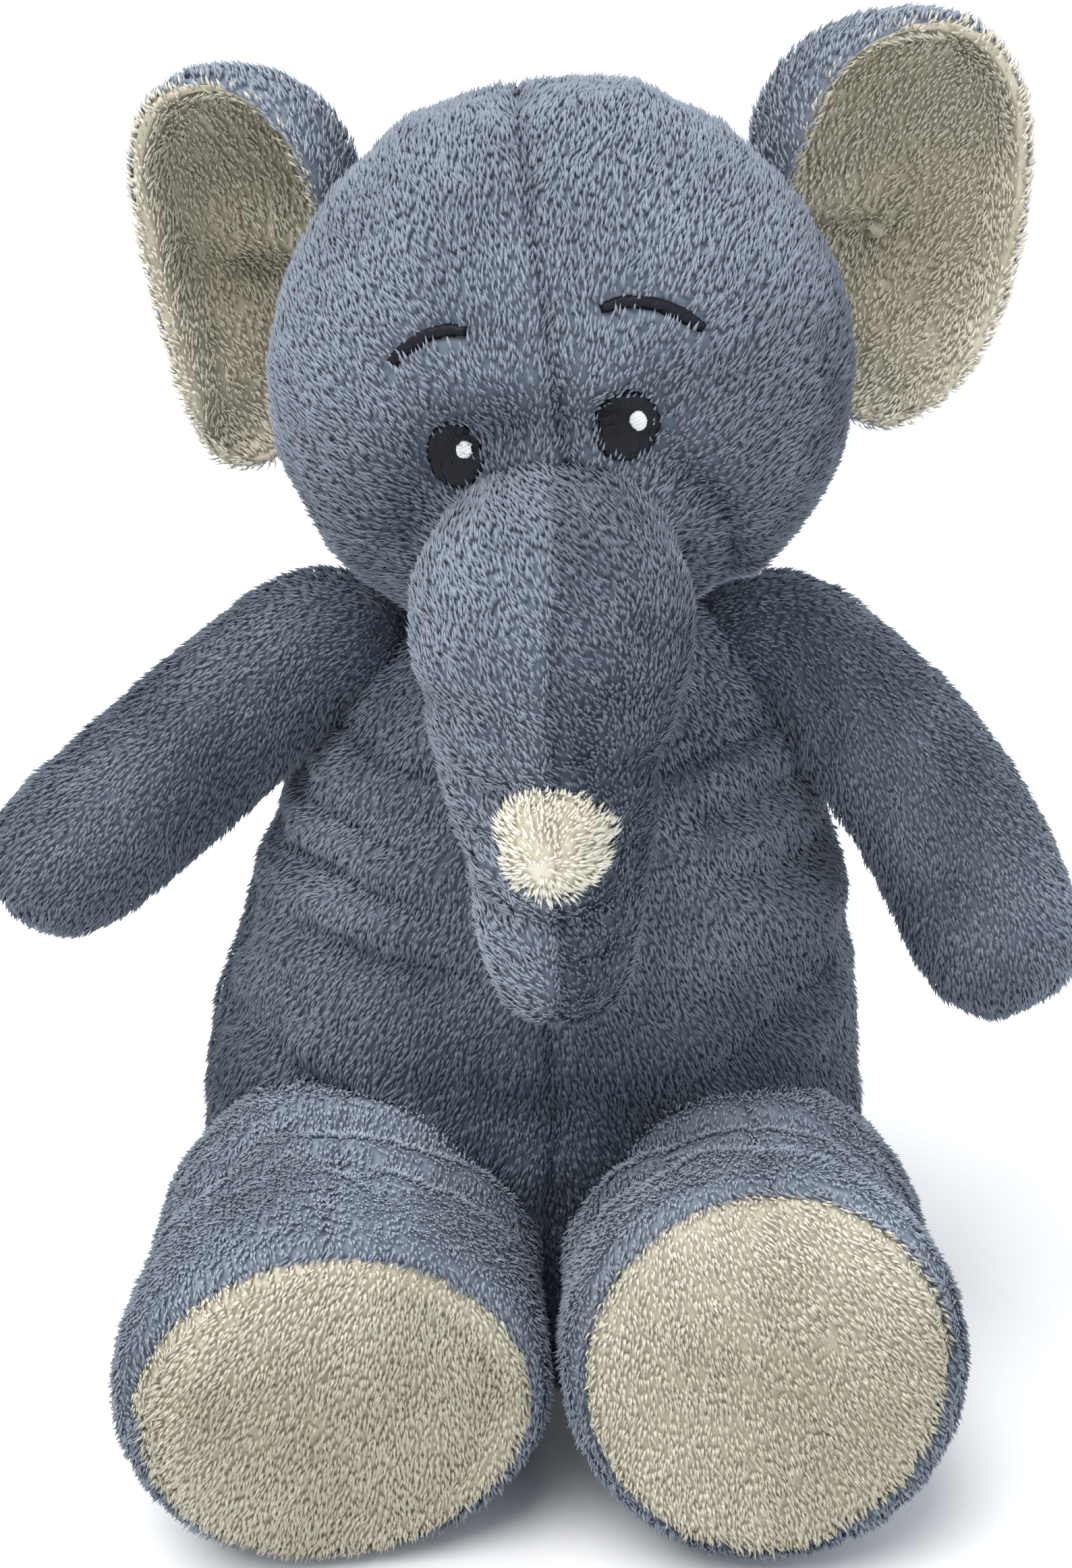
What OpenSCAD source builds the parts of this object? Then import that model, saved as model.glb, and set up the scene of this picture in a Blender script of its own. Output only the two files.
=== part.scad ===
// Seated plush elephant. Millimetres. The toy faces -Y, its own left is +X, and
// the origin is the centre of the flat seat panel that it sits on.

/* [Fabric] */
// Thickness of the plush cloth, backing and flattened pile
skin_t = 2.5; // [1.5:0.5:4]
// Clearance between pieces that move against each other
joint_gap = 0.6; // [0.4:0.1:1.2]
// Clearance between the cloth and the stuffing inside it
wad_gap = 0.3; // [0.2:0.1:0.6]
// Gap between two panels at their seam
seam_gap = 0.1; // [0.05:0.05:0.3]
// Height that embroidery stands above the cloth
stitch_t = 1.2; // [0.8:0.1:2]

/* [Torso] */
// Width across the hips
hip_width = 164; // [135:1:200]
// Depth of the chest, front to back
chest_depth = 92; // [76:1:110]
// Depth of the belly, front to back
torso_depth = 124; // [102:1:150]
// Depth of the round bottom that the flat seat cuts off
seat_cut = 10; // [6:1:14]
// Height of the centre of the chest
chest_height = 154; // [136:1:170]
// Height of the seam between the belly panels and the chest yoke
yoke_height = 174; // [160:1:180]
// Diameter of the pouch of beans in the bottom of the torso
pouch_d = 84; // [60:1:90]
// Height of the pouch of beans
pouch_h = 46; // [36:1:56]

/* [Neck] */
// Diameter of the wadding ball in the neck
neck_d = 60; // [50:1:70]
// Height of the neck's centre
neck_height = 196; // [190:1:210]
// Distance of the neck's centre in front of the torso's centre
neck_forward = 4; // [0:1:10]

/* [Head] */
// Width of the head
head_w = 128; // [124:1:154]
// Height of the head, and its depth from front to back
head_h = 122; // [108:1:127]
// Height of the head's lowest point above the neck's centre
head_lift = 7; // [3:1:14]
// Distance of the head's centre in front of the neck's centre
head_forward = 16; // [8:1:24]
// Sideways shift of the head
head_shift = 2; // [-6:1:6]
// Sideways tilt of the head, towards the toy's right
head_roll = 9; // [0:1:15]
// Position of the seam between face and back of the head, behind the head's centre
crown_back = 14; // [8:1:24]

/* [Eyes and brows] */
// Width of an embroidered eye
eye_w = 14.5; // [10:0.5:18]
// Height of an embroidered eye
eye_h = 17; // [12:0.5:22]
// Distance between the eyes' centres
eye_spacing = 40; // [32:1:52]
// Height of the eyes' centres above the top of the trunk's root
eye_above = 6; // [4:1:14]
// Diameter of the white glint in the eye
glint_d = 4; // [2.5:0.5:6]
// Radius of the arc of an eyebrow
brow_r = 16; // [12:1:24]
// Width of the eyebrow's line of stitches
brow_w = 2.4; // [1.5:0.1:4]
// Angle that an eyebrow's arc covers
brow_arc = 76; // [50:1:110]
// Height of the eyebrows' highest point above the eyes' centres
brow_rise = 29; // [24:1:36]
// Distance between the eyebrows' middles
brow_spacing = 54; // [40:1:64]

/* [Trunk] */
// Diameter of the trunk's root
trunk_root_d = 54; // [46:1:66]
// Diameter of the trunk's rounded end
trunk_end_d = 34; // [26:1:40]
// Angle at the bend that the upper trunk leaves free for the lower trunk's curl
curl_room = 26; // [20:1:32]
// Length from the root's centre to the end's centre
trunk_len = 82; // [68:1:92]
// Share of the length at which the trunk bends
trunk_bend = 0.5; // [0.4:0.05:0.6]
// Distance of the root's centre outside the head's surface
trunk_proud = 11; // [8:1:16]
// Angle of the root's centre below the head's centre
trunk_drop = 27.3; // [20:0.1:32]
// Forward lean of the hanging trunk
trunk_lean = 7; // [4:1:14]
// Side of the rounded square patch at the trunk's end
patch_w = 27; // [20:1:30]
// Height of the patch's centre above the end's centre
patch_rise = 22; // [19:1:26]

/* [Ears] */
// Width of an ear, from its root outwards
ear_w = 62; // [50:1:76]
// Height of an ear
ear_h = 98; // [82:1:118]
// Radius of the ear's hollow
ear_cup_r = 95; // [80:1:130]
// Length of an ear's root seam
ear_root_len = 58; // [48:1:66]
// Diameter of the rolled root seam of an ear
ear_root_d = 10; // [9:0.5:12]
// Height of the root seam's middle above the head's centre
ear_rise = 6; // [0:1:14]
// Distance of the root seam behind the head's centre
ear_back = 14; // [8:1:20]
// Lean of the root seam, its top towards the middle of the head
ear_lean = 13; // [5:1:20]
// Distance of the ear's middle above the middle of its root seam
ear_lift = 9; // [4:1:16]
// Turn of the toy's left ear, its rim backwards
ear_left_turn = 18; // [0:1:40]
// Turn of the toy's right ear, its rim backwards
ear_right_turn = 34; // [0:1:40]

/* [Arms] */
// Diameter of an arm's root
arm_root_d = 42; // [38:1:52]
// Diameter of the paw
paw_d = 42; // [34:1:50]
// Length from the shoulder's centre to the paw's centre
arm_len = 77; // [68:1:100]
// Distance of a shoulder's centre outside the chest's side
shoulder_proud = 0; // [-4:1:3]
// Height of a shoulder's centre
shoulder_height = 185; // [180:1:200]
// Droop of the toy's left arm below the horizontal
arm_left_droop = 50; // [25:1:55]
// Droop of the toy's right arm below the horizontal
arm_right_droop = 38; // [25:1:55]
// Angle that the arms reach forwards
arm_reach = 27; // [10:1:35]
// Angle that an arm can drop further than it hangs
arm_drop = 3; // [1:1:6]
// Diameter of the wadding ball in a shoulder
shoulder_wad_d = 26; // [20:1:30]

/* [Legs] */
// Diameter of a leg's root
leg_root_d = 76; // [64:1:82]
// Diameter of a foot
foot_d = 88; // [70:1:92]
// Length from the hip's centre to the sole
leg_len = 74; // [62:1:90]
// Distance between the two feet
feet_gap = 12; // [8:1:24]
// Distance of a hip's centre in front of the torso's centre
hip_forward = 49; // [44:1:60]
// Angle that the torso leaves free around a leg
leg_swing = 20.7; // [15:0.1:24]
// Width of the rim of plush around the sole panel
sole_rim = 4; // [3:0.5:9]
// Height that the sole panel crowns
sole_crown = 5; // [3:0.5:8]
// Angle that the feet turn outwards
toe_out = 2; // [0:1:8]
// Diameter of the wadding ball in a hip
hip_wad_d = 40; // [30:1:50]
// Diameter of the bag of pellets in a foot
pellet_d = 44; // [30:1:50]

/* [Tail] */
// Length of the tail
tail_len = 34; // [24:1:45]
// Diameter of the tail's root
tail_root_d = 12; // [9:0.5:15]
// Diameter of the tail's end
tail_end_d = 9; // [6:0.5:12]
// Height of the tail's root above the widest part of the hips
tail_above = 14; // [4:1:28]
// Distance of the tail's root outside the seam of the back
tail_proud = 3.8; // [3:0.2:4.4]

/* [Label and closing seam] */
// Width of the blank care label
label_w = 18; // [12:1:25]
// Length of the care label that stands out of the seam
label_len = 22; // [15:1:35]
// Thickness of the folded label
label_t = 0.8; // [0.5:0.1:1.5]
// Number of ladder stitches that close the back
stitch_count = 7; // [4:1:10]
// Distance from one closing stitch to the next
stitch_pitch = 6; // [4:0.5:8]

/* [Hidden] */
$fn = 48;

LEFT = 1;
RIGHT = -1;
FAR = 400; // larger than the toy, for cutting solids in half

GREY = [0.53, 0.57, 0.64];
DEEP_GREY = [0.45, 0.49, 0.57];
CREAM = [0.88, 0.85, 0.75];
BLACK = [0.06, 0.07, 0.1];
WHITE = [0.95, 0.95, 0.95];
WADDING = [0.93, 0.93, 0.9];
CANVAS = [0.8, 0.76, 0.68];

belly_r = torso_depth / 2;
chest_r = chest_depth / 2;
// the torso and the head are each two round lobes, this far off the middle
torso_split = hip_width / 2 - belly_r;
hip_height = belly_r - seat_cut;
head_r = head_h / 2;
head_split = (head_w - head_h) / 2;
neck_r = neck_d / 2;
neck = [0, -neck_forward, neck_height];
head = neck + [head_shift, -head_forward, head_r + head_lift];

trunk_root_r = trunk_root_d / 2;
trunk_end_r = trunk_end_d / 2;
trunk_mid_r = trunk_root_r + (trunk_end_r - trunk_root_r) * trunk_bend + 1;
trunk_out = head_r + trunk_proud;
trunk_root = head + [-1, -trunk_out * cos(trunk_drop), -trunk_out * sin(trunk_drop)];
// the eyes' height in the head's own frame
eye_rise = trunk_root_r - trunk_out * sin(trunk_drop) + eye_above;
trunk_dir = [0.03, -sin(trunk_lean), -cos(trunk_lean)];
trunk_mid = trunk_root + trunk_dir * trunk_len * trunk_bend;
trunk_end = trunk_root + trunk_dir * trunk_len;

ear_root_r = ear_root_d / 2;
// the ear's outline is an ellipse that its root seam cuts off
ear_half_w = ear_w * 0.58;
// the two layers of an ear, just thinner than its rolled root
ear_layer_t = (ear_root_d - 3) / 2;

arm_root_r = arm_root_d / 2;
paw_r = paw_d / 2;
leg_root_r = leg_root_d / 2;
foot_r = foot_d / 2;
// the rounded edge between a leg's side and its sole
foot_round = 9;
sole_d = foot_d - 2 * sole_rim;
leg_widest_r = max(foot_r, leg_root_r);
hip_out = leg_widest_r + feet_gap / 2;
hip_z = leg_widest_r;
// the angle at which a leg's side widens from its root to its foot
leg_widening = atan((foot_r - leg_root_r) / (leg_len - foot_round));

function arm_droop(side) = side == LEFT ? arm_left_droop : arm_right_droop;
function ear_turn(side) = side == LEFT ? ear_left_turn : ear_right_turn;
// direction of a limb that droops below the horizontal and reaches forwards
function limb_dir(side, droop, reach) =
  [side * cos(droop) * cos(reach), -sin(reach), -sin(droop) * cos(reach)];
function shoulder(side) =
  [side * (torso_split + chest_r + shoulder_proud), -2, shoulder_height];
function paw(side) = shoulder(side) + limb_dir(side, arm_droop(side), arm_reach) * arm_len;
function hip(side) = [side * hip_out, -hip_forward, hip_z];

// ---- shared shapes ----

// A round joint surface, turned in one piece with a small flat at each pole,
// and tilted so that its poles lie clear of every seam plane
module ball(r) {
  flat = 6;
  steps = 14;
  side = [for (n = [0:steps]) let (a = (90 - flat) * (2 * n / steps - 1)) [r * cos(a), r * sin(a)]];
  rotate([37, 52, 0])
    rotate_extrude()
      polygon(concat([[0, side[0][1]]], side, [[0, side[steps][1]]]));
}

// A cone with round ends, along +Z, turned in one piece. Its profile is two
// arcs that meet the side at a tangent, each cut short in a small flat at its pole
module tapered(r1, r2, len) {
  lean = asin((r1 - r2) / len);
  flat = 5;
  steps = 10;
  low = [for (n = [0:steps]) let (a = flat - 90 + n * (90 - flat + lean) / steps)
    [r1 * cos(a), r1 * sin(a)]];
  high = [for (n = [0:steps]) let (a = lean + n * (90 - flat - lean) / steps)
    [r2 * cos(a), len + r2 * sin(a)]];
  rotate([0, 0, 29])
    rotate_extrude()
      polygon(concat([[0, low[0][1]]], low, high, [[0, high[steps][1]]]));
}

// Children's +Z axis turned to run from a towards b, with their origin at a
module aimed(a, b) {
  v = b - a;
  translate(a)
    rotate([0, acos(v[2] / norm(v)), atan2(v[1], v[0])])
      children();
}

module limb(a, b, r1, r2) {
  aimed(a, b)
    tapered(r1, r2, norm(b - a));
}

// Halves of space; the ones that meet at a seam leave seam_gap between them
module front_half(y = 0) {
  translate([-FAR, y - 2 * FAR - seam_gap / 2, -FAR])
    cube(2 * FAR);
}

module back_half(y = 0) {
  translate([-FAR, y + seam_gap / 2, -FAR])
    cube(2 * FAR);
}

module side_half(side) {
  translate([side == LEFT ? seam_gap / 2 : -2 * FAR - seam_gap / 2, -FAR, -FAR])
    cube(2 * FAR);
}

module middle_half(side) {
  translate([side == LEFT ? 0 : -2 * FAR, -FAR, -FAR])
    cube(2 * FAR);
}

module above(z) {
  translate([-FAR, -FAR, z])
    cube(2 * FAR);
}

module below(z) {
  translate([-FAR, -FAR, z - 2 * FAR])
    cube(2 * FAR);
}

// ---- torso ----

// One side of the torso's pear shape, moved inwards by inset
module torso_lobe(side, inset = 0) {
  mirror([side == LEFT ? 0 : 1, 0, 0])
    translate([torso_split, 0, hip_height])
      tapered(belly_r - inset, chest_r - inset, chest_height - hip_height);
}

// Both sides, cut where they meet in the middle
module torso_form(inset = 0) {
  for (side = [LEFT, RIGHT])
    intersection() {
      torso_lobe(side, inset);
      middle_half(side);
    }
}

// Room that the neck, arms, legs and tail turn in
module torso_rooms() {
  translate(neck)
    ball(neck_r + joint_gap);
  for (side = [LEFT, RIGHT]) {
    arm_room(side);
    leg_at(side)
      leg_room();
  }
  tail_room();
}

// Room for an arm's root: a cup that opens outwards in a cone about the axis
// that the arm swings on, just wider than the arm's own lean from that axis
module arm_room(side) {
  translate(shoulder(side))
    rotate([0, side * 90, 0])
      cup(arm_root_r + joint_gap, acos(cos(arm_droop(side)) * cos(arm_reach)) + arm_drop, arm_len);
}

// A round cup of radius r with a small flat at its pole, which opens along +Z
// into a cone whose side leans outwards and reaches to len
module cup(r, lean, len) {
  slant = (len + r * sin(lean)) / cos(lean);
  rotate([0, 0, 29])
    rotate_extrude()
      polygon(concat(
        [[0, -r * cos(6)]],
        [for (n = [0:5]) let (a = -84 + n * (84 - lean) / 5) r * [cos(a), sin(a)]],
        [[r * cos(lean) + slant * sin(lean), len], [0, len]]
      ));
}

// A leg's own frame: hip at the origin, sole towards -Y
module leg_at(side) {
  translate(hip(side))
    rotate([0, 0, side * toe_out])
      children();
}

// Room for the leg's root, which opens out to let the leg lift and spread
module leg_room() {
  rotate([90, 0, 0])
    cup(leg_root_r + joint_gap, leg_widening + leg_swing, leg_len);
}

module torso_panel(side) {
  difference() {
    intersection() {
      torso_lobe(side);
      side_half(side);
      above(skin_t);
      children();
    }
    torso_lobe(side, skin_t);
    torso_rooms();
  }
}

module torso_front(side) {
  color(GREY)
    torso_panel(side)
      intersection() {
        front_half();
        below(yoke_height);
      }
}

module torso_back(side) {
  color(DEEP_GREY)
    torso_panel(side)
      back_half();
}

module chest_yoke() {
  color(DEEP_GREY)
    difference() {
      intersection() {
        torso_form();
        front_half();
        above(yoke_height);
      }
      torso_form(skin_t);
      torso_rooms();
    }
}

// The flat oval that the toy sits on
module seat_panel() {
  $fn = 240;
  color(DEEP_GREY)
    difference() {
      intersection() {
        torso_form();
        above(0);
        below(skin_t);
      }
      for (side = [LEFT, RIGHT])
        leg_at(side)
          leg_room();
    }
}

module torso_stuffing() {
  $fn = 32;
  color(WADDING)
    difference() {
      intersection() {
        torso_form(skin_t + wad_gap);
        above(skin_t + wad_gap);
      }
      torso_rooms();
      bean_form(wad_gap);
    }
}

module bean_form(grow = 0) {
  half = (pouch_d - pouch_h) / 2;
  middle = [0, 11, skin_t + wad_gap + pouch_h / 2 - 5];
  limb(middle - [half, 0, 0], middle + [half, 0, 0], pouch_h / 2 + grow, pouch_h / 2 - 1 + grow);
}

module bean_pouch() {
  color(CANVAS)
    intersection() {
      bean_form();
      above(skin_t + wad_gap);
    }
}

// Ladder stitches across the centre seam of the back, proud of the cloth
module closing_stitches() {
  $fn = 240;
  middle = 120;
  color(DEEP_GREY)
    for (n = [0:stitch_count - 1])
      intersection() {
        difference() {
          torso_form(-stitch_t);
          torso_form(-0.05);
        }
        translate([0, 0, middle + (n - (stitch_count - 1) / 2) * stitch_pitch])
          rotate([-90, 0, 0])
            cylinder(r = 1, h = FAR);
      }
}

module care_label() {
  x = -torso_depth * 0.2;
  color(WHITE)
    difference() {
      translate([x - label_w / 2, 0, 14])
        cube([label_w, torso_depth / 2 + label_len * 0.4, label_t]);
      torso_form(-0.1);
    }
}

// ---- neck and head ----

module neck_wadding() {
  color(DEEP_GREY)
    translate(neck)
      ball(neck_r);
}

// Children in the head's own frame, tilted with the head
module in_head() {
  translate(head)
    rotate([0, -head_roll, 0])
      children();
}

// One side of the round head, in its own frame, moved inwards by inset
module head_lobe(side, inset = 0) {
  mirror([side == LEFT ? 0 : 1, 0, 0])
    translate([head_split, 0, 0])
      ball(head_r - inset);
}

module head_form(inset = 0) {
  for (side = [LEFT, RIGHT])
    intersection() {
      head_lobe(side, inset);
      middle_half(side);
    }
}

// Room that the neck, the trunk and the ears turn in
module head_rooms() {
  translate(neck)
    ball(neck_r + joint_gap);
  limb(trunk_root, trunk_mid, trunk_root_r + joint_gap, trunk_mid_r + joint_gap);
  for (side = [LEFT, RIGHT])
    in_ear(side)
      ear_root(joint_gap);
}

module head_panel(side) {
  difference() {
    in_head()
      difference() {
        intersection() {
          head_lobe(side);
          side_half(side);
          children();
        }
        head_lobe(side, skin_t);
      }
    head_rooms();
  }
}

module head_front(side) {
  color(GREY)
    head_panel(side)
      front_half(crown_back);
}

module head_back(side) {
  color(DEEP_GREY)
    head_panel(side)
      back_half(crown_back);
}

module head_stuffing() {
  color(WADDING)
    difference() {
      in_head()
        head_form(skin_t + wad_gap);
      head_rooms();
    }
}

// A thin layer that lies on the face, from low to high above the cloth
module on_face(side, low, high) {
  $fn = 240;
  in_head()
    difference() {
      intersection() {
        head_lobe(side, -high);
        children();
      }
      head_lobe(side, -low);
    }
}

module eye(side) {
  color(BLACK)
    on_face(side, 0.1, stitch_t)
      translate([side * eye_spacing / 2, 0, eye_rise])
        rotate([90, 0, 0])
          scale([eye_w / eye_h, 1, 1])
            cylinder(d = eye_h, h = FAR);
}

module eye_glint(side) {
  color(WHITE)
    on_face(side, stitch_t + 0.1, stitch_t + 0.8)
      translate([side * eye_spacing / 2 + eye_w * 0.2, 0, eye_rise + eye_h * 0.1])
        rotate([90, 0, 0])
          cylinder(d = glint_d, h = FAR);
}

module eyebrow(side) {
  color(BLACK)
    on_face(side, 0.1, stitch_t)
      translate([side * brow_spacing / 2, 0, eye_rise + brow_rise - brow_r])
        rotate([90, 0, 0])
          rotate([0, 0, 90 - brow_arc / 2 - side * 10])
            rotate_extrude(angle = brow_arc)
              translate([brow_r - brow_w / 2, 0])
                square([brow_w, head_h]);
}

// ---- trunk ----

// The upper trunk stops short of the bend, so that the lower trunk can curl
module trunk_upper_form(inset = 0) {
  difference() {
    limb(trunk_root, trunk_mid, trunk_root_r - inset, trunk_mid_r - 1 - inset);
    translate(trunk_mid)
      ball(trunk_mid_r + joint_gap);
    below(trunk_mid[2] + trunk_mid_r * sin(curl_room));
  }
}

module trunk_tip_form(inset = 0) {
  limb(trunk_mid, trunk_end, trunk_mid_r - inset, trunk_end_r - inset);
}

module trunk_side(side) {
  translate([trunk_root[0] + 1, 0, 0])
    side_half(side);
}

module trunk_upper(side) {
  color(side == LEFT ? DEEP_GREY : GREY)
    intersection() {
      difference() {
        trunk_upper_form();
        trunk_upper_form(skin_t);
      }
      trunk_side(side);
    }
}

// Stops above the ball of the lower trunk
module trunk_upper_stuffing() {
  inset = skin_t + wad_gap;
  color(WADDING)
    intersection() {
      limb(trunk_root, trunk_mid, trunk_root_r - inset, trunk_mid_r - 1 - inset);
      above(trunk_mid[2] + trunk_mid_r + joint_gap);
    }
}

// The rounded square prism that cuts the patch's outline, along -Y
module patch_outline(grow = 0) {
  corner = patch_w / 4;
  half = patch_w / 2 - corner;
  translate([trunk_end[0], trunk_end[1], trunk_end[2] + patch_rise])
    rotate([90, 0, 0]) {
      for (x = [-half, half], y = [-half, half])
        translate([x, y, 0])
          cylinder(r = corner + grow, h = FAR);
      for (turn = [0, 90])
        rotate([0, 0, turn])
          translate([-half, -patch_w / 2 - grow, 0])
            cube([2 * half, patch_w + 2 * grow, FAR]);
    }
}

module trunk_tip(side) {
  color(side == LEFT ? DEEP_GREY : GREY)
    difference() {
      intersection() {
        difference() {
          trunk_tip_form();
          trunk_tip_form(skin_t);
        }
        trunk_side(side);
      }
      patch_outline();
    }
}

module trunk_patch() {
  color(CREAM)
    intersection() {
      difference() {
        trunk_tip_form(-0.5);
        trunk_tip_form(skin_t);
      }
      patch_outline(-0.1);
    }
}

module trunk_tip_stuffing() {
  color(WADDING)
    trunk_tip_form(skin_t + wad_gap);
}

// ---- ears ----

// Children in an ear's frame: +Z up its root seam, +X outwards, -Y to the front
module in_ear(side) {
  in_head()
    translate([side * head_w / 2 * 0.95, ear_back, ear_rise])
      rotate([0, -side * ear_lean, 0])
        mirror([side == LEFT ? 0 : 1, 0, 0])
          rotate([0, 0, ear_turn(side)])
            children();
}

module ear_root(grow = 0) {
  translate([0, 0, ear_lift - ear_root_len / 2 - grow])
    cylinder(r = ear_root_r + grow, h = ear_root_len + 2 * grow);
}

// One layer of the ear: part of a spherical bowl that opens forwards
module ear_layer(near, far) {
  intersection() {
    translate([ear_w / 2, -ear_cup_r + ear_layer_t, ear_lift / 2])
      difference() {
        sphere(r = ear_cup_r - near);
        sphere(r = ear_cup_r - far);
      }
    translate([ear_w - ear_half_w, 0, ear_lift])
      rotate([90, 0, 0])
        scale([2 * ear_half_w / ear_h, 1, 1])
          cylinder(d = ear_h, h = 2 * ear_cup_r, center = true);
    translate([ear_root_r * 0.7, -FAR, -FAR])
      cube(2 * FAR);
    front_half(ear_root_r + 4);
    translate([0, -ear_cup_r / 2, 0])
      back_half();
  }
}

module ear_outer(side) {
  color(DEEP_GREY)
    in_ear(side) {
      ear_root();
      difference() {
        ear_layer(0, ear_layer_t);
        ear_root();
      }
    }
}

module ear_inner(side) {
  color(CREAM)
    in_ear(side)
      difference() {
        ear_layer(ear_layer_t + 0.1, 2 * ear_layer_t);
        ear_root(0.2);
      }
}

// ---- arms ----

module arm_form(side, inset = 0) {
  limb(shoulder(side), paw(side), arm_root_r - inset, paw_r - inset);
}

// The plane of the seam that runs from the shoulder to the paw, facing forwards
module arm_front_half(side) {
  translate(shoulder(side))
    rotate([0, 0, -side * arm_reach])
      front_half();
}

module arm_shell(side) {
  difference() {
    arm_form(side);
    arm_form(side, skin_t);
  }
}

module arm_front(side) {
  color(GREY)
    intersection() {
      arm_shell(side);
      arm_front_half(side);
    }
}

module arm_back(side) {
  color(DEEP_GREY)
    difference() {
      arm_shell(side);
      arm_front_half(side);
    }
}

module arm_stuffing(side) {
  color(WADDING)
    difference() {
      arm_form(side, skin_t + wad_gap);
      shoulder_ball(side, joint_gap);
    }
}

module shoulder_ball(side, grow = 0) {
  translate(shoulder(side))
    sphere(r = shoulder_wad_d / 2 + grow);
}

module shoulder_wadding(side) {
  color(WADDING)
    shoulder_ball(side);
}

// ---- legs ----

module leg_form(inset = 0) {
  root_r = leg_root_r - inset;
  edge_r = foot_round - inset;
  rotate([90, 29, 0])
    rotate_extrude()
      polygon(concat(
        [[0, -root_r * cos(6)]],
        [for (a = [-84:12:0]) root_r * [cos(a), sin(a)]],
        [for (a = [0:15:90])
          [foot_r - foot_round, leg_len - foot_round] + edge_r * [cos(a), sin(a)]],
        [[0, leg_len - inset]]
      ));
}

// The pad of the sole, a shallow dome on the end of the foot
module sole_form(inset = 0) {
  dome_r = (sole_d * sole_d / 4 + sole_crown * sole_crown) / (2 * sole_crown);
  intersection() {
    translate([0, -leg_len + dome_r - sole_crown + skin_t, 0])
      sphere(r = dome_r - inset, $fn = 360);
    translate([0, -leg_len + skin_t + inset, 0])
      rotate([90, 0, 0])
        cylinder(d = sole_d - 2 * inset, h = sole_crown + skin_t);
  }
}

module leg_panel(side, outer) {
  leg_at(side)
    difference() {
      intersection() {
        leg_form();
        side_half(outer ? side : -side);
      }
      leg_form(skin_t);
      translate([0, -leg_len + 2 * skin_t, 0])
        rotate([90, 0, 0])
          cylinder(d = sole_d + 0.2, h = FAR);
    }
}

module leg_outer(side) {
  color(GREY)
    leg_panel(side, true);
}

module leg_inner(side) {
  color(DEEP_GREY)
    leg_panel(side, false);
}

module sole(side) {
  color(CREAM)
    leg_at(side)
      sole_form();
}

module leg_stuffing(side) {
  color(WADDING)
    difference() {
      leg_at(side)
        difference() {
          leg_form(skin_t + wad_gap);
          pellet_form(wad_gap);
        }
      hip_ball(side, joint_gap);
    }
}

module pellet_form(grow = 0) {
  translate([0, -leg_len + pellet_d / 2 + skin_t + 3 * wad_gap, -foot_r / 4])
    sphere(r = pellet_d / 2 - 1 + grow);
}

module foot_pellets(side) {
  color(CANVAS)
    leg_at(side)
      pellet_form();
}

module hip_ball(side, grow = 0) {
  translate(hip(side))
    sphere(r = hip_wad_d / 2 + grow);
}

module hip_wadding(side) {
  color(WADDING)
    hip_ball(side);
}

// ---- tail ----

tail_root = [
  0,
  sqrt(belly_r * belly_r - torso_split * torso_split) + tail_proud,
  hip_height + tail_above
];
tail_tip = tail_root + [0, 0.55, -0.835] * tail_len;

module tail_room() {
  translate(tail_root)
    sphere(r = tail_root_d / 2 + joint_gap);
}

module tail() {
  color(DEEP_GREY)
    limb(tail_root, tail_tip, tail_root_d / 2, tail_end_d / 2);
}

torso_front(LEFT);  // torso_front_left
torso_front(RIGHT);  // torso_front_right
chest_yoke();
torso_back(LEFT);  // torso_back_left
torso_back(RIGHT);  // torso_back_right
seat_panel();
torso_stuffing();
bean_pouch();
closing_stitches();
care_label();
neck_wadding();
head_front(LEFT);  // head_front_left
head_front(RIGHT);  // head_front_right
head_back(LEFT);  // head_back_left
head_back(RIGHT);  // head_back_right
head_stuffing();
eye(LEFT);  // eye_left
eye(RIGHT);  // eye_right
eye_glint(LEFT);  // eye_glint_left
eye_glint(RIGHT);  // eye_glint_right
eyebrow(LEFT);  // eyebrow_left
eyebrow(RIGHT);  // eyebrow_right
trunk_upper(LEFT);  // trunk_upper_left
trunk_upper(RIGHT);  // trunk_upper_right
trunk_upper_stuffing();
trunk_tip(LEFT);  // trunk_tip_left
trunk_tip(RIGHT);  // trunk_tip_right
trunk_patch();
trunk_tip_stuffing();
ear_outer(LEFT);  // ear_left_outer
ear_inner(LEFT);  // ear_left_inner
ear_outer(RIGHT);  // ear_right_outer
ear_inner(RIGHT);  // ear_right_inner
arm_front(LEFT);  // arm_left_front
arm_back(LEFT);  // arm_left_back
arm_stuffing(LEFT);  // arm_left_stuffing
shoulder_wadding(LEFT);  // shoulder_left_wadding
arm_front(RIGHT);  // arm_right_front
arm_back(RIGHT);  // arm_right_back
arm_stuffing(RIGHT);  // arm_right_stuffing
shoulder_wadding(RIGHT);  // shoulder_right_wadding
leg_outer(LEFT);  // leg_left_outer
leg_inner(LEFT);  // leg_left_inner
sole(LEFT);  // sole_left
leg_stuffing(LEFT);  // leg_left_stuffing
foot_pellets(LEFT);  // foot_left_pellets
hip_wadding(LEFT);  // hip_left_wadding
leg_outer(RIGHT);  // leg_right_outer
leg_inner(RIGHT);  // leg_right_inner
sole(RIGHT);  // sole_right
leg_stuffing(RIGHT);  // leg_right_stuffing
foot_pellets(RIGHT);  // foot_right_pellets
hip_wadding(RIGHT);  // hip_right_wadding
tail();
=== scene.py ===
# A stuffed elephant that sits: short-pile plush panels sewn over wadding, with
# beans in the seat and the feet. Metres; the toy faces -Y and its left is +X.
import math

import bmesh
import bpy
import numpy as np
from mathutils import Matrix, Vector
from mathutils.bvhtree import BVHTree


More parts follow.
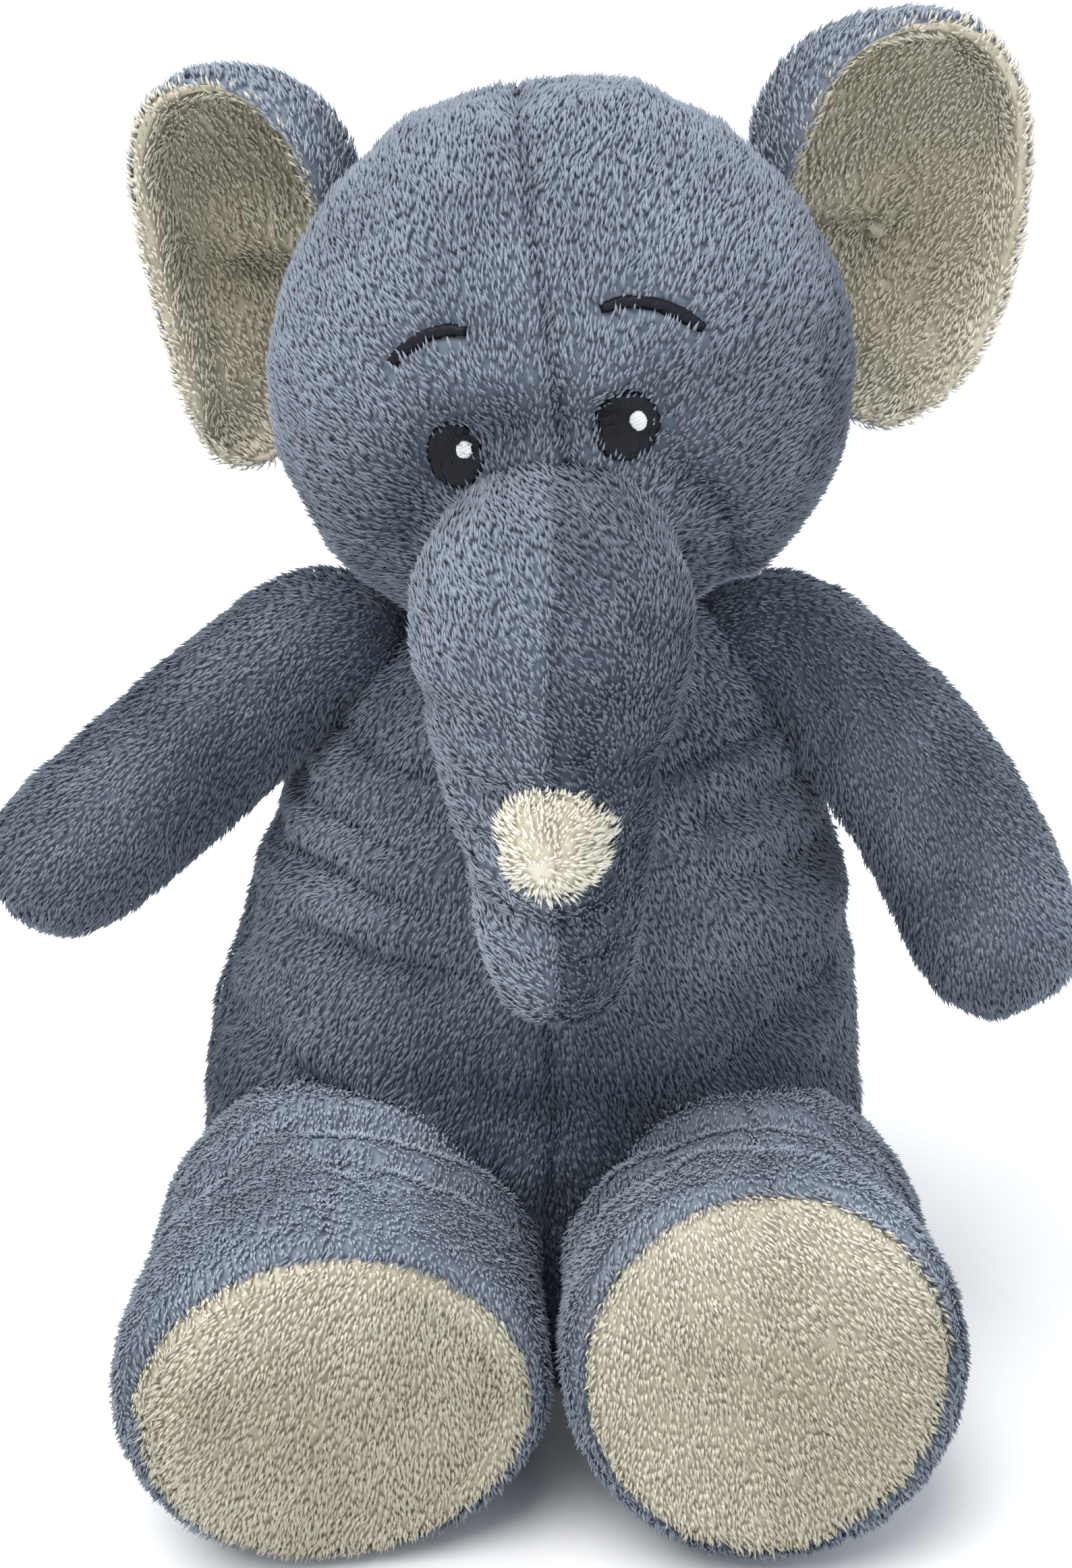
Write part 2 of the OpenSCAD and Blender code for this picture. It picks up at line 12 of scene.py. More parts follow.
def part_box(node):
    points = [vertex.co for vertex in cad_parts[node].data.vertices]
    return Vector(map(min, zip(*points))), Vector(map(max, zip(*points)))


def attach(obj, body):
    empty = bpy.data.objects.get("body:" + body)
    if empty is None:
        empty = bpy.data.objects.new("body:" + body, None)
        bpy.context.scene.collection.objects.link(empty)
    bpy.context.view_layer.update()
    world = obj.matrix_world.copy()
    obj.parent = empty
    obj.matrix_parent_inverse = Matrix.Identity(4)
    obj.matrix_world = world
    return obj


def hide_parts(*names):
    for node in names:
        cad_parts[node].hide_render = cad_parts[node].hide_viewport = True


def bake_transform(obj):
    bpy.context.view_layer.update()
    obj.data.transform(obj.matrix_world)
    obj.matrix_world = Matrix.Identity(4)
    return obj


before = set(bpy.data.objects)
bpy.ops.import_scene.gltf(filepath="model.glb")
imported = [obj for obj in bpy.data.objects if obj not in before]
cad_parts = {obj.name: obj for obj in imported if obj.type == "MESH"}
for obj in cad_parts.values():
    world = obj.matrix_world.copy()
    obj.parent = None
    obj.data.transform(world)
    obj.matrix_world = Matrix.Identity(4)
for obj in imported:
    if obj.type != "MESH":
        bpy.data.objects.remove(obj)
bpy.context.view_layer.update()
MM = 0.001
SIDES = {"left": 1, "right": -1}

# ---- The table it sits on, the window light and the view ----
# A matt white board, one large soft light above on the toy's right, a weaker
# one opposite, and a camera held a little above the head.


def pure(colour, strength=1.0):
    """An sRGB colour of 0 to 255 as the linear light a socket takes"""
    part = [c / 255 for c in colour]
    part = [c / 12.92 if c <= 0.04045 else ((c + 0.055) / 1.055) ** 2.4 for c in part]
    return (*[c * strength for c in part], 1.0)


def add_node(tree, kind, inputs=None, **settings):
    """A node with its settings, whose inputs take values or other sockets"""
    made = tree.nodes.new(kind)
    for name, value in settings.items():
        setattr(made, name, value)
    for name, value in (inputs or {}).items():
        if isinstance(value, bpy.types.NodeSocket):
            tree.links.new(value, made.inputs[name])
        else:
            made.inputs[name].default_value = value
    return made


def finish(name, **sockets):
    """A material with one Principled shader, and that shader"""
    material = bpy.data.materials.new(name)
    material.use_nodes = True
    shader = material.node_tree.nodes["Principled BSDF"]
    for socket, value in sockets.items():
        shader.inputs[socket.replace("_", " ")].default_value = value
    return material, shader


scene = bpy.context.scene
scene.view_settings.view_transform = "Standard"
board = bmesh.new()
bmesh.ops.create_grid(board, x_segments=1, y_segments=1, size=20)
floor_mesh = bpy.data.meshes.new("table_board")
board.to_mesh(floor_mesh)
board.free()
floor = bpy.data.objects.new("table_board", floor_mesh)
scene.collection.objects.link(floor)
white_board, board_shader = finish("white_board", Roughness=0.75)
tree = white_board.node_tree
cloud = add_node(tree, "ShaderNodeTexNoise", {"Scale": 3.0, "Detail": 2.0})
board_tone = add_node(
    tree,
    "ShaderNodeMix",
    {
        "Factor": cloud.outputs["Fac"],
        "A": pure((246, 247, 249)),
        "B": pure((250, 251, 252)),
    },
    data_type="RGBA",
)
tree.links.new(board_tone.outputs["Result"], board_shader.inputs["Base Color"])
floor_mesh.materials.append(white_board)

aim = Vector((-3.5, 0, 150)) * MM
lamps = {
    # kind, place, size in metres (or width in degrees for the sky), power, colour
    "window": ("SUN", (-0.42, -0.36, 1.3), 50.0, 3.1, (1.0, 0.985, 0.96)),
    "room": ("AREA", (0.95, -0.75, 0.75), 1.4, 4.5, (0.93, 0.96, 1.0)),
    "behind": ("AREA", (0.2, 0.9, 0.9), 1.2, 4.0, (1.0, 1.0, 1.0)),
}
for name, (kind, place, size, power, colour) in lamps.items():
    lamp = bpy.data.lights.new(name, kind)
    lamp.energy, lamp.color = power, colour
    if kind == "SUN":
        lamp.angle = math.radians(size)
    else:
        lamp.shape, lamp.size = "DISK", size
    stand = bpy.data.objects.new(name, lamp)
    stand.location = place
    stand.rotation_euler = (aim - Vector(place)).to_track_quat("-Z", "Y").to_euler()
    scene.collection.objects.link(stand)
room = bpy.data.worlds.new("room")
room.use_nodes = True
room.node_tree.nodes["Background"].inputs["Color"].default_value = (0.9, 0.95, 1, 1)
room.node_tree.nodes["Background"].inputs["Strength"].default_value = 0.5
scene.world = room

lens = bpy.data.cameras.new("camera")
lens.sensor_fit, lens.sensor_height, lens.lens = "VERTICAL", 36, 52.9
camera = bpy.data.objects.new("camera", lens)
camera.location = Vector((-3.5, -556.3, 374.8)) * MM
camera.rotation_euler = (aim - camera.location).to_track_quat("-Z", "Y").to_euler()
scene.collection.objects.link(camera)
scene.camera = camera

# ---- Plush cloth ----
# Knitted polyester with a pile about 3 mm long that lies in tufts. Every tuft is painted dark at its foot and pale at
# its tip, and the cloth between them dark too, as painted shade deep in the pile.

TUFT_LONG, TUFT_WIDE = 3.1 * MM, 0.92 * MM


def plush(name, deep, tip, sheen_tint):
    """Pile whose colour runs along each tuft, with painted shade at its foot, and from tuft to tuft"""
    material, shader = finish(
        name,
        Roughness=0.92,
        Sheen_Weight=0.35,
        Sheen_Roughness=0.45,
        Sheen_Tint=pure(sheen_tint),
        Specular_IOR_Level=0.18,
    )
    tree = material.node_tree
    along_map = add_node(tree, "ShaderNodeUVMap", uv_map="OFBake")
    parts = add_node(tree, "ShaderNodeSeparateXYZ", {"Vector": along_map.outputs["UV"]})
    # painted shade in the pile: the tone is halved at the foot of each tuft and on the cloth between tufts
    foot = add_node(
        tree,
        "ShaderNodeMapRange",
        {"Value": parts.outputs["Y"], "From Min": 0.0, "From Max": 0.85, "To Min": 0.5, "To Max": 1.0},
    )
    bright = add_node(
        tree,
        "ShaderNodeMath",
        {0: parts.outputs["X"], 1: foot.outputs["Result"]},
        operation="MULTIPLY",
    )
    colour = add_node(
        tree,
        "ShaderNodeMix",
        {"Factor": bright.outputs["Value"], "A": pure(deep), "B": pure(tip)},
        data_type="RGBA",
    )
    tree.links.new(colour.outputs["Result"], shader.inputs["Base Color"])
    return material


grey_plush = plush("grey_plush", (52, 63, 80), (186, 196, 210), (208, 216, 229))
cream_plush = plush("cream_plush", (158, 149, 122), (250, 245, 230), (255, 250, 238))
ivory_plush = plush("ivory_plush", (220, 210, 184), (255, 253, 244), (255, 250, 240))

# One tuft: a closed spindle of six faces, a little flat, its tip bent over.
blade = bmesh.new()
bmesh.ops.create_cone(
    blade,
    cap_ends=True,
    segments=3,
    radius1=TUFT_WIDE / 2,
    radius2=0,
    depth=TUFT_LONG * 0.62,
)
bmesh.ops.remove_doubles(blade, verts=blade.verts, dist=0.01 * MM)
bmesh.ops.translate(blade, vec=(0, 0, TUFT_LONG * 0.69), verts=blade.verts)
base = next(f for f in blade.faces if abs(f.normal.z) > 0.9)
bmesh.ops.poke(blade, faces=[base], offset=TUFT_LONG * 0.38)
bmesh.ops.scale(blade, vec=(0.6, 1, 1), verts=blade.verts)
for v in blade.verts:
    v.co.x += 0.12 * TUFT_LONG * (1 - (2 * v.co.z / TUFT_LONG - 1) ** 2)
bmesh.ops.recalc_face_normals(blade, faces=blade.faces)
tuft_mesh = bpy.data.meshes.new("tuft")
blade.to_mesh(tuft_mesh)
blade.free()
tuft_along = tuft_mesh.attributes.new("along", "FLOAT", "POINT")
for v, value in zip(tuft_mesh.vertices, tuft_along.data):
    value.value = v.co.z / TUFT_LONG
tuft = bpy.data.objects.new("tuft", tuft_mesh)
scene.collection.objects.link(tuft)

# Sets tufts out over the right side of the cloth and combs them along its nap.
pile = bpy.data.node_groups.new("pile", "GeometryNodeTree")
pile.interface.new_socket("Geometry", in_out="INPUT", socket_type="NodeSocketGeometry")
pile.interface.new_socket("Geometry", in_out="OUTPUT", socket_type="NodeSocketGeometry")
CLUMP, LIE, STAND, STRAY = 0.55, 0.85, 0.62, 0.2


def read(name, kind="FLOAT"):
    return add_node(
        pile, "GeometryNodeInputNamedAttribute", {"Name": name}, data_type=kind
    ).outputs["Attribute"]


def sum_of(first, second, operation="ADD", vector=False):
    kind = "ShaderNodeVectorMath" if vector else "ShaderNodeMath"
    put = add_node(pile, kind, operation=operation)
    for slot, value in enumerate((first, second)):
        # a vector is scaled by its fourth socket
        if vector and operation == "SCALE" and slot == 1:
            slot = 3
        if isinstance(value, bpy.types.NodeSocket):
            pile.links.new(value, put.inputs[slot])
        else:
            put.inputs[slot].default_value = value
    return put.outputs[0]


def chance(low, high, seed, kind="FLOAT"):
    put = add_node(pile, "FunctionNodeRandomValue", {"Seed": seed}, data_type=kind)
    ends = [s for s in put.inputs if s.enabled and s.name in ("Min", "Max")]
    ends[0].default_value, ends[1].default_value = low, high
    return next(s for s in put.outputs if s.enabled)


cloth_in = add_node(pile, "NodeGroupInput").outputs[0]
density = sum_of(read("pile"), sum_of(1.0, read("lining"), "SUBTRACT"), "MULTIPLY")
spread = add_node(
    pile, "GeometryNodeDistributePointsOnFaces", {"Mesh": cloth_in, "Density": density, "Seed": 7}
)
where = add_node(pile, "GeometryNodeInputPosition").outputs[0]
clumps = add_node(pile, "ShaderNodeTexNoise", {"Vector": where, "Scale": 150.0, "Detail": 1.0})
swirl = sum_of(clumps.outputs["Color"], (0.5, 0.5, 0.5), "SUBTRACT", True)
patches = add_node(pile, "ShaderNodeTexNoise", {"Vector": where, "Scale": 27.0, "Detail": 2.5})
lean = sum_of(read("nap", "FLOAT_VECTOR"), LIE, "SCALE", True)
lean = sum_of(lean, sum_of(spread.outputs["Normal"], STAND, "SCALE", True), "ADD", True)
lean = sum_of(lean, sum_of(swirl, CLUMP * 2, "SCALE", True), "ADD", True)
stray = sum_of(chance((-1, -1, -1), (1, 1, 1), 3, "FLOAT_VECTOR"), STRAY, "SCALE", True)
lean = sum_of(lean, stray, "ADD", True)
turn = add_node(
    pile,
    "FunctionNodeAxesToRotation",
    {"Primary Axis": lean, "Secondary Axis": spread.outputs["Normal"]},
    primary_axis="Z",
    secondary_axis="X",
)
long = sum_of(read("length"), chance(0.75, 1.2, 4), "MULTIPLY")
wide = chance(0.75, 1.25, 5)
grow = add_node(pile, "ShaderNodeCombineXYZ", {0: wide, 1: wide, 2: long})
tone = sum_of(read("shade"), sum_of(sum_of(patches.outputs["Fac"], 0.5, "SUBTRACT"), 0.8, "MULTIPLY"))
tuft_tone = sum_of(tone, chance(-0.1, 0.1, 6))
toned = add_node(
    pile,
    "GeometryNodeStoreNamedAttribute",
    {"Geometry": spread.outputs["Points"], "Name": "tone", "Value": tuft_tone},
    data_type="FLOAT",
    domain="POINT",
)
one_tuft = add_node(pile, "GeometryNodeObjectInfo", {"Object": tuft})
set_out = add_node(
    pile,
    "GeometryNodeInstanceOnPoints",
    {
        "Points": toned.outputs[0],
        "Instance": one_tuft.outputs["Geometry"],
        "Rotation": turn.outputs[0],
        "Scale": grow.outputs[0],
    },
)
real = add_node(pile, "GeometryNodeRealizeInstances", {"Geometry": set_out.outputs[0]})
coats = []
# the cloth between the tufts takes the colour of a tuft's foot, which is painted shade
for coat, level, height in (
    (real.outputs[0], read("tone"), read("along")),
    (cloth_in, tone, 0.0),
):
    pair = add_node(pile, "ShaderNodeCombineXYZ", {0: level, 1: height})
    stored = add_node(
        pile,
        "GeometryNodeStoreNamedAttribute",
        {"Geometry": coat, "Name": "OFBake"},
        data_type="FLOAT2",
        domain="CORNER",
    )
    value = next(s for s in stored.inputs if s.enabled and s.name == "Value")
    pile.links.new(pair.outputs[0], value)
    coats.append(stored.outputs[0])
both = add_node(pile, "GeometryNodeJoinGeometry")
for coat in coats:
    pile.links.new(coat, both.inputs[0])
soft = add_node(pile, "GeometryNodeSetShadeSmooth", {"Geometry": both.outputs[0]})
pile.links.new(soft.outputs[0], add_node(pile, "NodeGroupOutput").inputs[0])

# ---- Torso ----
# Four grey plush panels, a yoke under the chin and a round seat, sewn edge to
# edge and packed with wadding over a bag of beans. The back seam is closed by hand.

PILE_THICK = 0.86e6  # tufts on a square metre
PILE_THIN = 0.42e6
CLOTH = 1.3 * MM


def eased(keys, count=240, rounds=24):
    """Evenly spaced points through keys in millimetres, with its corners rounded"""
    keys = np.array(keys, float) * MM
    steps = np.concatenate([[0], np.cumsum(np.linalg.norm(np.diff(keys, axis=0), axis=1))])
    walk = np.linspace(0, steps[-1], count)
    path = np.stack([np.interp(walk, steps, k) for k in keys.T], axis=1)
    for _ in range(rounds):
        path[1:-1] = (path[:-2] + 2 * path[1:-1] + path[2:]) / 4
    return path


def corners(mesh):
    """The mesh's points and their normals, as two arrays"""
    place = np.empty(len(mesh.vertices) * 3)
    mesh.vertices.foreach_get("co", place)
    facing = np.empty(len(mesh.vertices) * 3)
    mesh.vertex_normals.foreach_get("vector", facing)
    return place.reshape(-1, 3), facing.reshape(-1, 3)


def move(mesh, place):
    mesh.vertices.foreach_set("co", np.ascontiguousarray(place, dtype=np.float32).ravel())
    mesh.update()


def made(name, mesh):
    piece = bpy.data.objects.new(name, mesh)
    scene.collection.objects.link(piece)
    return piece


def plump(name, keys, across, around=64, along=44, cut=None):
    """A closed skin of oval rings round a path of (x, y, z, half width, half depth); cut(x, y, h) numbers the panel of a face of the ball that it is shaped from"""
    ball = bmesh.new()
    bmesh.ops.create_uvsphere(ball, u_segments=around, v_segments=along, radius=1)
    panel = ball.faces.layers.int.new("panel")
    for f in ball.faces:
        spot = f.calc_center_median()
        f[panel] = cut(spot.x, spot.y, spot.z) if cut else 0
    mesh = bpy.data.meshes.new(name)
    ball.to_mesh(mesh)
    ball.free()
    round_ball, _ = corners(mesh)
    path = eased(keys)
    up = np.clip(round_ball[:, 2], -1, 1)
    where = (0.5 + np.arcsin(up) / math.pi) * (len(path) - 1)
    spot = np.stack([np.interp(where, np.arange(len(path)), k) for k in path.T], axis=1)
    step = np.gradient(path[:, :3], axis=0)
    ahead = np.stack([np.interp(where, np.arange(len(path)), k) for k in step.T], axis=1)
    ahead /= np.linalg.norm(ahead, axis=1)[:, None]
    side = np.array(across, float)[None, :] - ahead * (ahead @ np.array(across, float))[:, None]
    side /= np.linalg.norm(side, axis=1)[:, None]
    third = np.cross(ahead, side)
    flat = np.maximum(np.hypot(round_ball[:, 0], round_ball[:, 1]), 1e-9)
    turn = round_ball[:, :2] / flat[:, None]
    place = spot[:, :3] + side * (spot[:, 3] * turn[:, 0])[:, None]
    place += third * (spot[:, 4] * turn[:, 1])[:, None]
    move(mesh, place)
    return made(name, mesh)


def fill_out(skin, held, room=4 * MM, spare=0.02):
    """Packs a skin with wadding: cloth under pressure from inside, held where held(points) says, and no point moves by more than room"""
    before, _ = corners(skin.data)
    grip = skin.vertex_groups.new(name="held")
    for index, hold in enumerate(held(before)):
        if hold > 0.01:
            grip.add([index], float(hold), "REPLACE")
    cloth = skin.modifiers.new("wadding", "CLOTH")
    cloth.settings.quality = 6
    cloth.settings.mass = 0.25
    cloth.settings.tension_stiffness = cloth.settings.compression_stiffness = 12
    cloth.settings.shear_stiffness = 6
    cloth.settings.bending_stiffness = 0.4
    cloth.settings.use_pressure = True
    cloth.settings.uniform_pressure_force = 4
    cloth.settings.vertex_group_mass = "held"
    cloth.settings.shrink_min = -spare
    cloth.settings.effector_weights.gravity = 0
    cloth.point_cache.frame_start, cloth.point_cache.frame_end = 1, 20
    for step in range(1, 21):
        scene.frame_set(step)
    graph = bpy.context.evaluated_depsgraph_get()
    after, _ = corners(skin.evaluated_get(graph).to_mesh())
    shift = after - before
    far = np.maximum(np.linalg.norm(shift, axis=1), 1e-9)
    move(skin.data, before + shift * np.minimum(1, room / far)[:, None])
    skin.modifiers.clear()
    skin.vertex_groups.clear()


def finer(skin):
    """Halves every face of the skin and rounds it"""
    skin.modifiers.new("round", "SUBSURF").levels = 1
    graph = bpy.context.evaluated_depsgraph_get()
    skin.data = bpy.data.meshes.new_from_object(skin.evaluated_get(graph))
    skin.modifiers.clear()


def gap_to(place, line):
    """Each point's distance from a line of points, and how far along it, 0 to 1"""
    line = np.array(line, float) * MM
    best = np.full(len(place), 9.0)
    share = np.zeros(len(place))
    for k, (a, b) in enumerate(zip(line[:-1], line[1:])):
        run = b - a
        t = np.clip((place - a) @ run / max(run @ run, 1e-12), 0, 1)
        gap = np.linalg.norm(place - a - t[:, None] * run, axis=1)
        nearer = gap < best
        best[nearer] = gap[nearer]
        share[nearer] = (k + t[nearer]) / (len(line) - 1)
    return best, share


def pull_in(skin, line, deep, wide, plane=(0, 2), near=None):
    """A fold: the cloth sinks along a line and swells a little on both sides of it. plane names the two axes that the line is drawn on, or all three"""
    place, facing = corners(skin.data)
    gap, share = gap_to(place[:, list(plane)], line)
    taper = np.sqrt(np.clip(np.sin(math.pi * np.clip(share, 0.02, 0.98)), 0, 1))
    sink = -np.exp(-((gap / (wide * MM)) ** 2))
    swell = 0.35 * np.exp(-(((gap / (wide * MM)) - 2.1) ** 2))
    amount = deep * MM * taper * (sink + swell)
    if near is not None:
        amount = amount * near(place, facing)
    move(skin.data, place + facing * amount[:, None])


def front(place, facing):
    return np.clip(-facing[:, 1] * 3, 0, 1)


def seam(skin, gap, deep=1.6, wide=2.2):
    """The groove of a seam, where gap(points) is each point's distance from it"""
    place, facing = corners(skin.data)
    amount = -deep * MM * np.exp(-((gap(place) / (wide * MM)) ** 2))
    move(skin.data, place + facing * amount[:, None])


def shaded(mesh, nap, thick=None, shade=None, length=None):
    """Stores how the pile lies on the cloth: its nap, thickness, shade and length"""
    place, facing = corners(mesh)
    lie = np.broadcast_to(nap(place, facing), place.shape)
    lie = lie - facing * np.sum(lie * facing, axis=1)[:, None]
    lie = lie / np.maximum(np.linalg.norm(lie, axis=1), 1e-6)[:, None]
    mesh.attributes.new("nap", "FLOAT_VECTOR", "POINT").data.foreach_set(
        "vector", lie.astype(np.float32).ravel()
    )
    for name, rule, usual in (
        ("pile", thick, PILE_THICK),
        ("shade", shade, 0.5),
        ("length", length, 1.0),
    ):
        value = np.full(len(place), usual) if rule is None else rule(place, facing)
        mesh.attributes.new(name, "FLOAT", "POINT").data.foreach_set(
            "value", np.asarray(value, dtype=np.float32)
        )


def sew(skin, panels, material, body, wall=CLOTH, blend=None):
    """Cuts a finished skin into its panels, gives each its thickness and pile, and lets it ride its body; given blend,
    it stays fixed where it is instead
    """
    sewn = {}
    for number, (name, stands_for) in panels.items():
        part = bmesh.new()
        part.from_mesh(skin.data)
        layer = part.faces.layers.int["panel"]
        others = [f for f in part.faces if f[layer] != number]
        bmesh.ops.delete(part, geom=others, context="FACES")
        mesh = bpy.data.meshes.new(name)
        part.to_mesh(mesh)
        part.free()
        panel = made(name, mesh)
        panel.vertex_groups.new(name="lining")
        thick = panel.modifiers.new("cloth", "SOLIDIFY")
        thick.thickness, thick.offset, thick.use_even_offset = wall, -1, False
        thick.shell_vertex_group = "lining"
        panel.modifiers.new("pile", "NODES").node_group = pile
        graph = bpy.context.evaluated_depsgraph_get()
        panel.data = bpy.data.meshes.new_from_object(panel.evaluated_get(graph))
        panel.modifiers.clear()
        panel.vertex_groups.clear()
        for extra in ("pile", "nap", "shade", "length", "tone", "along", "panel", "lining"):
            if extra in panel.data.attributes:
                panel.data.attributes.remove(panel.data.attributes[extra])
        panel.data.materials.clear()
        cloth = material[number] if isinstance(material, dict) else material
        panel.data.materials.append(cloth)
        place, _ = corners(panel.data)
        place[:, 2] = np.maximum(place[:, 2], 0.15 * MM)
        move(panel.data, place)
        if blend:
            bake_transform(panel)
        else:
            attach(panel, body)
        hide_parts(*stands_for)
        sewn[number] = panel
    bpy.data.objects.remove(skin)
    return sewn


wadding, wadding_shader = finish("white_wadding", Roughness=1.0)
tree = wadding.node_tree
fluff = add_node(
    tree,
    "ShaderNodeTexNoise",
    {"Vector": add_node(tree, "ShaderNodeTexCoord").outputs["Object"], "Scale": 400.0, "Detail": 4.0},
)
fluff_tone = add_node(
    tree,
    "ShaderNodeMix",
    {"Factor": fluff.outputs["Fac"], "A": pure((205, 206, 208)), "B": pure((250, 250, 250))},
    data_type="RGBA",
)
tree.links.new(fluff_tone.outputs["Result"], wadding_shader.inputs["Base Color"])
lumps = add_node(
    tree, "ShaderNodeBump", {"Height": fluff.outputs["Fac"], "Strength": 0.5, "Distance": 0.001}
)
tree.links.new(lumps.outputs["Normal"], wadding_shader.inputs["Normal"])


def pack(skin, name, body, stands_for, inset=4.5, blend=None):
    """The wadding inside a skin: the skin's shape, inset millimetres further in"""
    core = made(name, skin.data.copy())
    place, facing = corners(core.data)
    move(core.data, place - facing * inset * MM)
    # wadding doesn't follow the creases, it rounds them off
    loose = bmesh.new()
    loose.from_mesh(core.data)
    for _ in range(16):
        bmesh.ops.smooth_vert(
            loose, verts=loose.verts, factor=0.5, use_axis_x=True, use_axis_y=True, use_axis_z=True
        )
    loose.to_mesh(core.data)
    loose.free()
    place, _ = corners(core.data)
    place[:, 2] = np.maximum(place[:, 2], 2.2 * MM)
    move(core.data, place)
    core.data.attributes.remove(core.data.attributes["panel"])
    core.data.materials.clear()
    core.data.materials.append(wadding)
    core.data.shade_smooth()
    if blend:
        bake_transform(core)
    else:
        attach(core, body)
    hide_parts(*stands_for)
    return core


# height, half width, half depth, x and y of the middle; it leans a little
TORSO = [
    (1, 0, 0, -3, 4),
    (1.5, 54, 38, -3, 4),
    (4, 72, 54, -3, 4),
    (14, 82, 60, -3, 3),
    (40, 87, 63, -4, 2),
    (70, 86, 62, -4, 1),
    (100, 81, 58, -1, 0),
    (130, 75, 53, 1.5, 0),
    (155, 67, 47, 2.5, 0),
    (175, 59, 42, 2, -1),
    (190, 49, 37, 1, -3),
    (199, 34, 27, 0, -4),
    (205, 0, 0, 0, -4),
]
YOKE_LINE = [(-60, 176), (-40, 168), (-20, 166), (0, 167), (20, 169), (40, 172), (60, 176)]


def torso_panel(x, y, h):
    if h < math.sin(math.pi * (0.17 - 0.5)):
        return 4
    if y < 0 and h > math.sin(math.pi * (0.785 - 0.5)):
        return 5
    return (0 if x > 0 else 1) + (0 if y < 0 else 2)


torso = plump(
    "torso_skin",
    [(x, y, h, wide, deep) for h, wide, deep, x, y in TORSO],
    (1, 0, 0),
    around=84,
    along=64,
    cut=torso_panel,
)


def torso_seams(place):
    """Distance from the nearest seam of the torso"""
    side_seam = np.where(place[:, 2] > 8 * MM, np.abs(place[:, 1] - 1 * MM), 1)
    front_seam = np.where(place[:, 2] > 8 * MM, np.abs(place[:, 0]), 1)
    yoke, _ = gap_to(place[:, [0, 2]], YOKE_LINE)
    yoke = np.where(place[:, 1] < 0, yoke, 1)
    return np.minimum(np.minimum(side_seam, front_seam), yoke)


def torso_held(place):
    hold = np.exp(-((torso_seams(place) / (3 * MM)) ** 2)) * 0.9
    for side in (1, -1):
        for spot, reach in (((62, -2, 186), 24), ((50, -49, 44), 36)):
            gap = np.linalg.norm(place - np.array(spot) * (side, 1, 1) * MM, axis=1)
            hold = np.maximum(hold, np.clip(1.6 - gap / (reach * MM), 0, 1))
    return np.where(place[:, 2] < 3 * MM, 1.0, hold)


fill_out(torso, torso_held, room=5 * MM, spare=0.035)
finer(torso)
seam(torso, torso_seams, deep=1.2, wide=2.0)
FOLDS = [
    # on the belly, as (x, z), with its depth and half width
    ([(-68, 156), (-52, 153), (-34, 149)], 3.6, 3.8),
    ([(-72, 141), (-52, 140), (-30, 135)], 4.2, 4.4),
    ([(-74, 127), (-56, 125), (-34, 122), (-18, 121)], 3.2, 4.4),
    ([(30, 157), (46, 161), (64, 160)], 4.0, 4.2),
    ([(34, 146), (50, 143), (68, 137)], 3.0, 4.0),
    ([(16, 80), (38, 90), (60, 101), (78, 112)], 4.4, 5.5),
    ([(-82, 96), (-62, 86), (-46, 77), (-32, 64)], 4.4, 5.5),
    ([(-34, 94), (-16, 86), (0, 84), (14, 86)], 2.4, 6.0),
    ([(-30, 187), (-10, 181), (12, 181), (32, 187)], 2.2, 4.0),
]
for line, deep, wide in FOLDS:
    pull_in(torso, line, deep, wide, near=front)
for side in (1, -1):
    for line, deep, wide in (
        ([(58, 36, 160), (66, 14, 158), (62, -14, 160)], 2.0, 4.0),
        ([(60, 40, 100), (78, 16, 96), (78, -10, 98)], 2.0, 5.0),
        ([(30, 56, 60), (60, 40, 64), (80, 14, 70)], 1.8, 6.0),
        ([(14, 50, 120), (36, 44, 126), (60, 26, 132)], 1.4, 5.0),
    ):
        pull_in(torso, [(side * x, y, z) for x, y, z in line], deep, wide, plane=(0, 1, 2))


def torso_nap(place, facing):
    """Down the body, and outwards from the front seam"""
    out = np.sign(place[:, 0]) * 0.35
    return np.stack([out, np.zeros(len(place)), np.full(len(place), -1.0)], axis=1)


def torso_thick(place, facing):
    thick = np.where(place[:, 1] < 15 * MM, PILE_THICK, PILE_THIN)
    hidden = (place[:, 2] < 2.5 * MM) | (place[:, 2] > 203 * MM)
    return np.where(hidden, 0, thick)


def torso_shade(place, facing):
    # painted shade: the front grows darker towards the seat, under the head and between the legs; the seams are darker
    # too
    low = np.clip((128 * MM - place[:, 2]) / (75 * MM), 0, 1) * front(place, facing)
    return 0.48 - 0.34 * low - 0.22 * np.exp(-((torso_seams(place) / (1.6 * MM)) ** 2))


shaded(torso.data, torso_nap, torso_thick, torso_shade)
pack(torso, "torso_wadding", "torso", ["torso_stuffing", "bean_pouch"])
sew(
    torso,
    {
        0: ("belly_left_panel", ["torso_front_left"]),
        1: ("belly_right_panel", ["torso_front_right"]),
        2: ("back_left_panel", ["torso_back_left"]),
        3: ("back_right_panel", ["torso_back_right"]),
        4: ("seat_round_panel", ["seat_panel"]),
        5: ("chest_yoke_panel", ["chest_yoke"]),
    },
    grey_plush,
    "torso",
)

# ---- Head ----
# Four grey plush panels that meet on the crown and down the middle of the face,
# packed firm. Two pleats in the lower cheeks bring the skin in to the trunk.

# height, half width, half depth, all from the head's middle
HEAD = [
    (-60, 0, 0),
    (-57, 26, 24),
    (-46, 47, 44.5),
    (-28, 61, 57.5),
    (-8, 66, 62),
    (12, 64.5, 62),
    (30, 57, 55),
    (46, 44.5, 43),
    (58, 27, 27),
    (63, 0, 0),
]
HEAD_PLACE = Vector((2, -20, 264)) * MM
HEAD_ROLL = math.radians(-9)


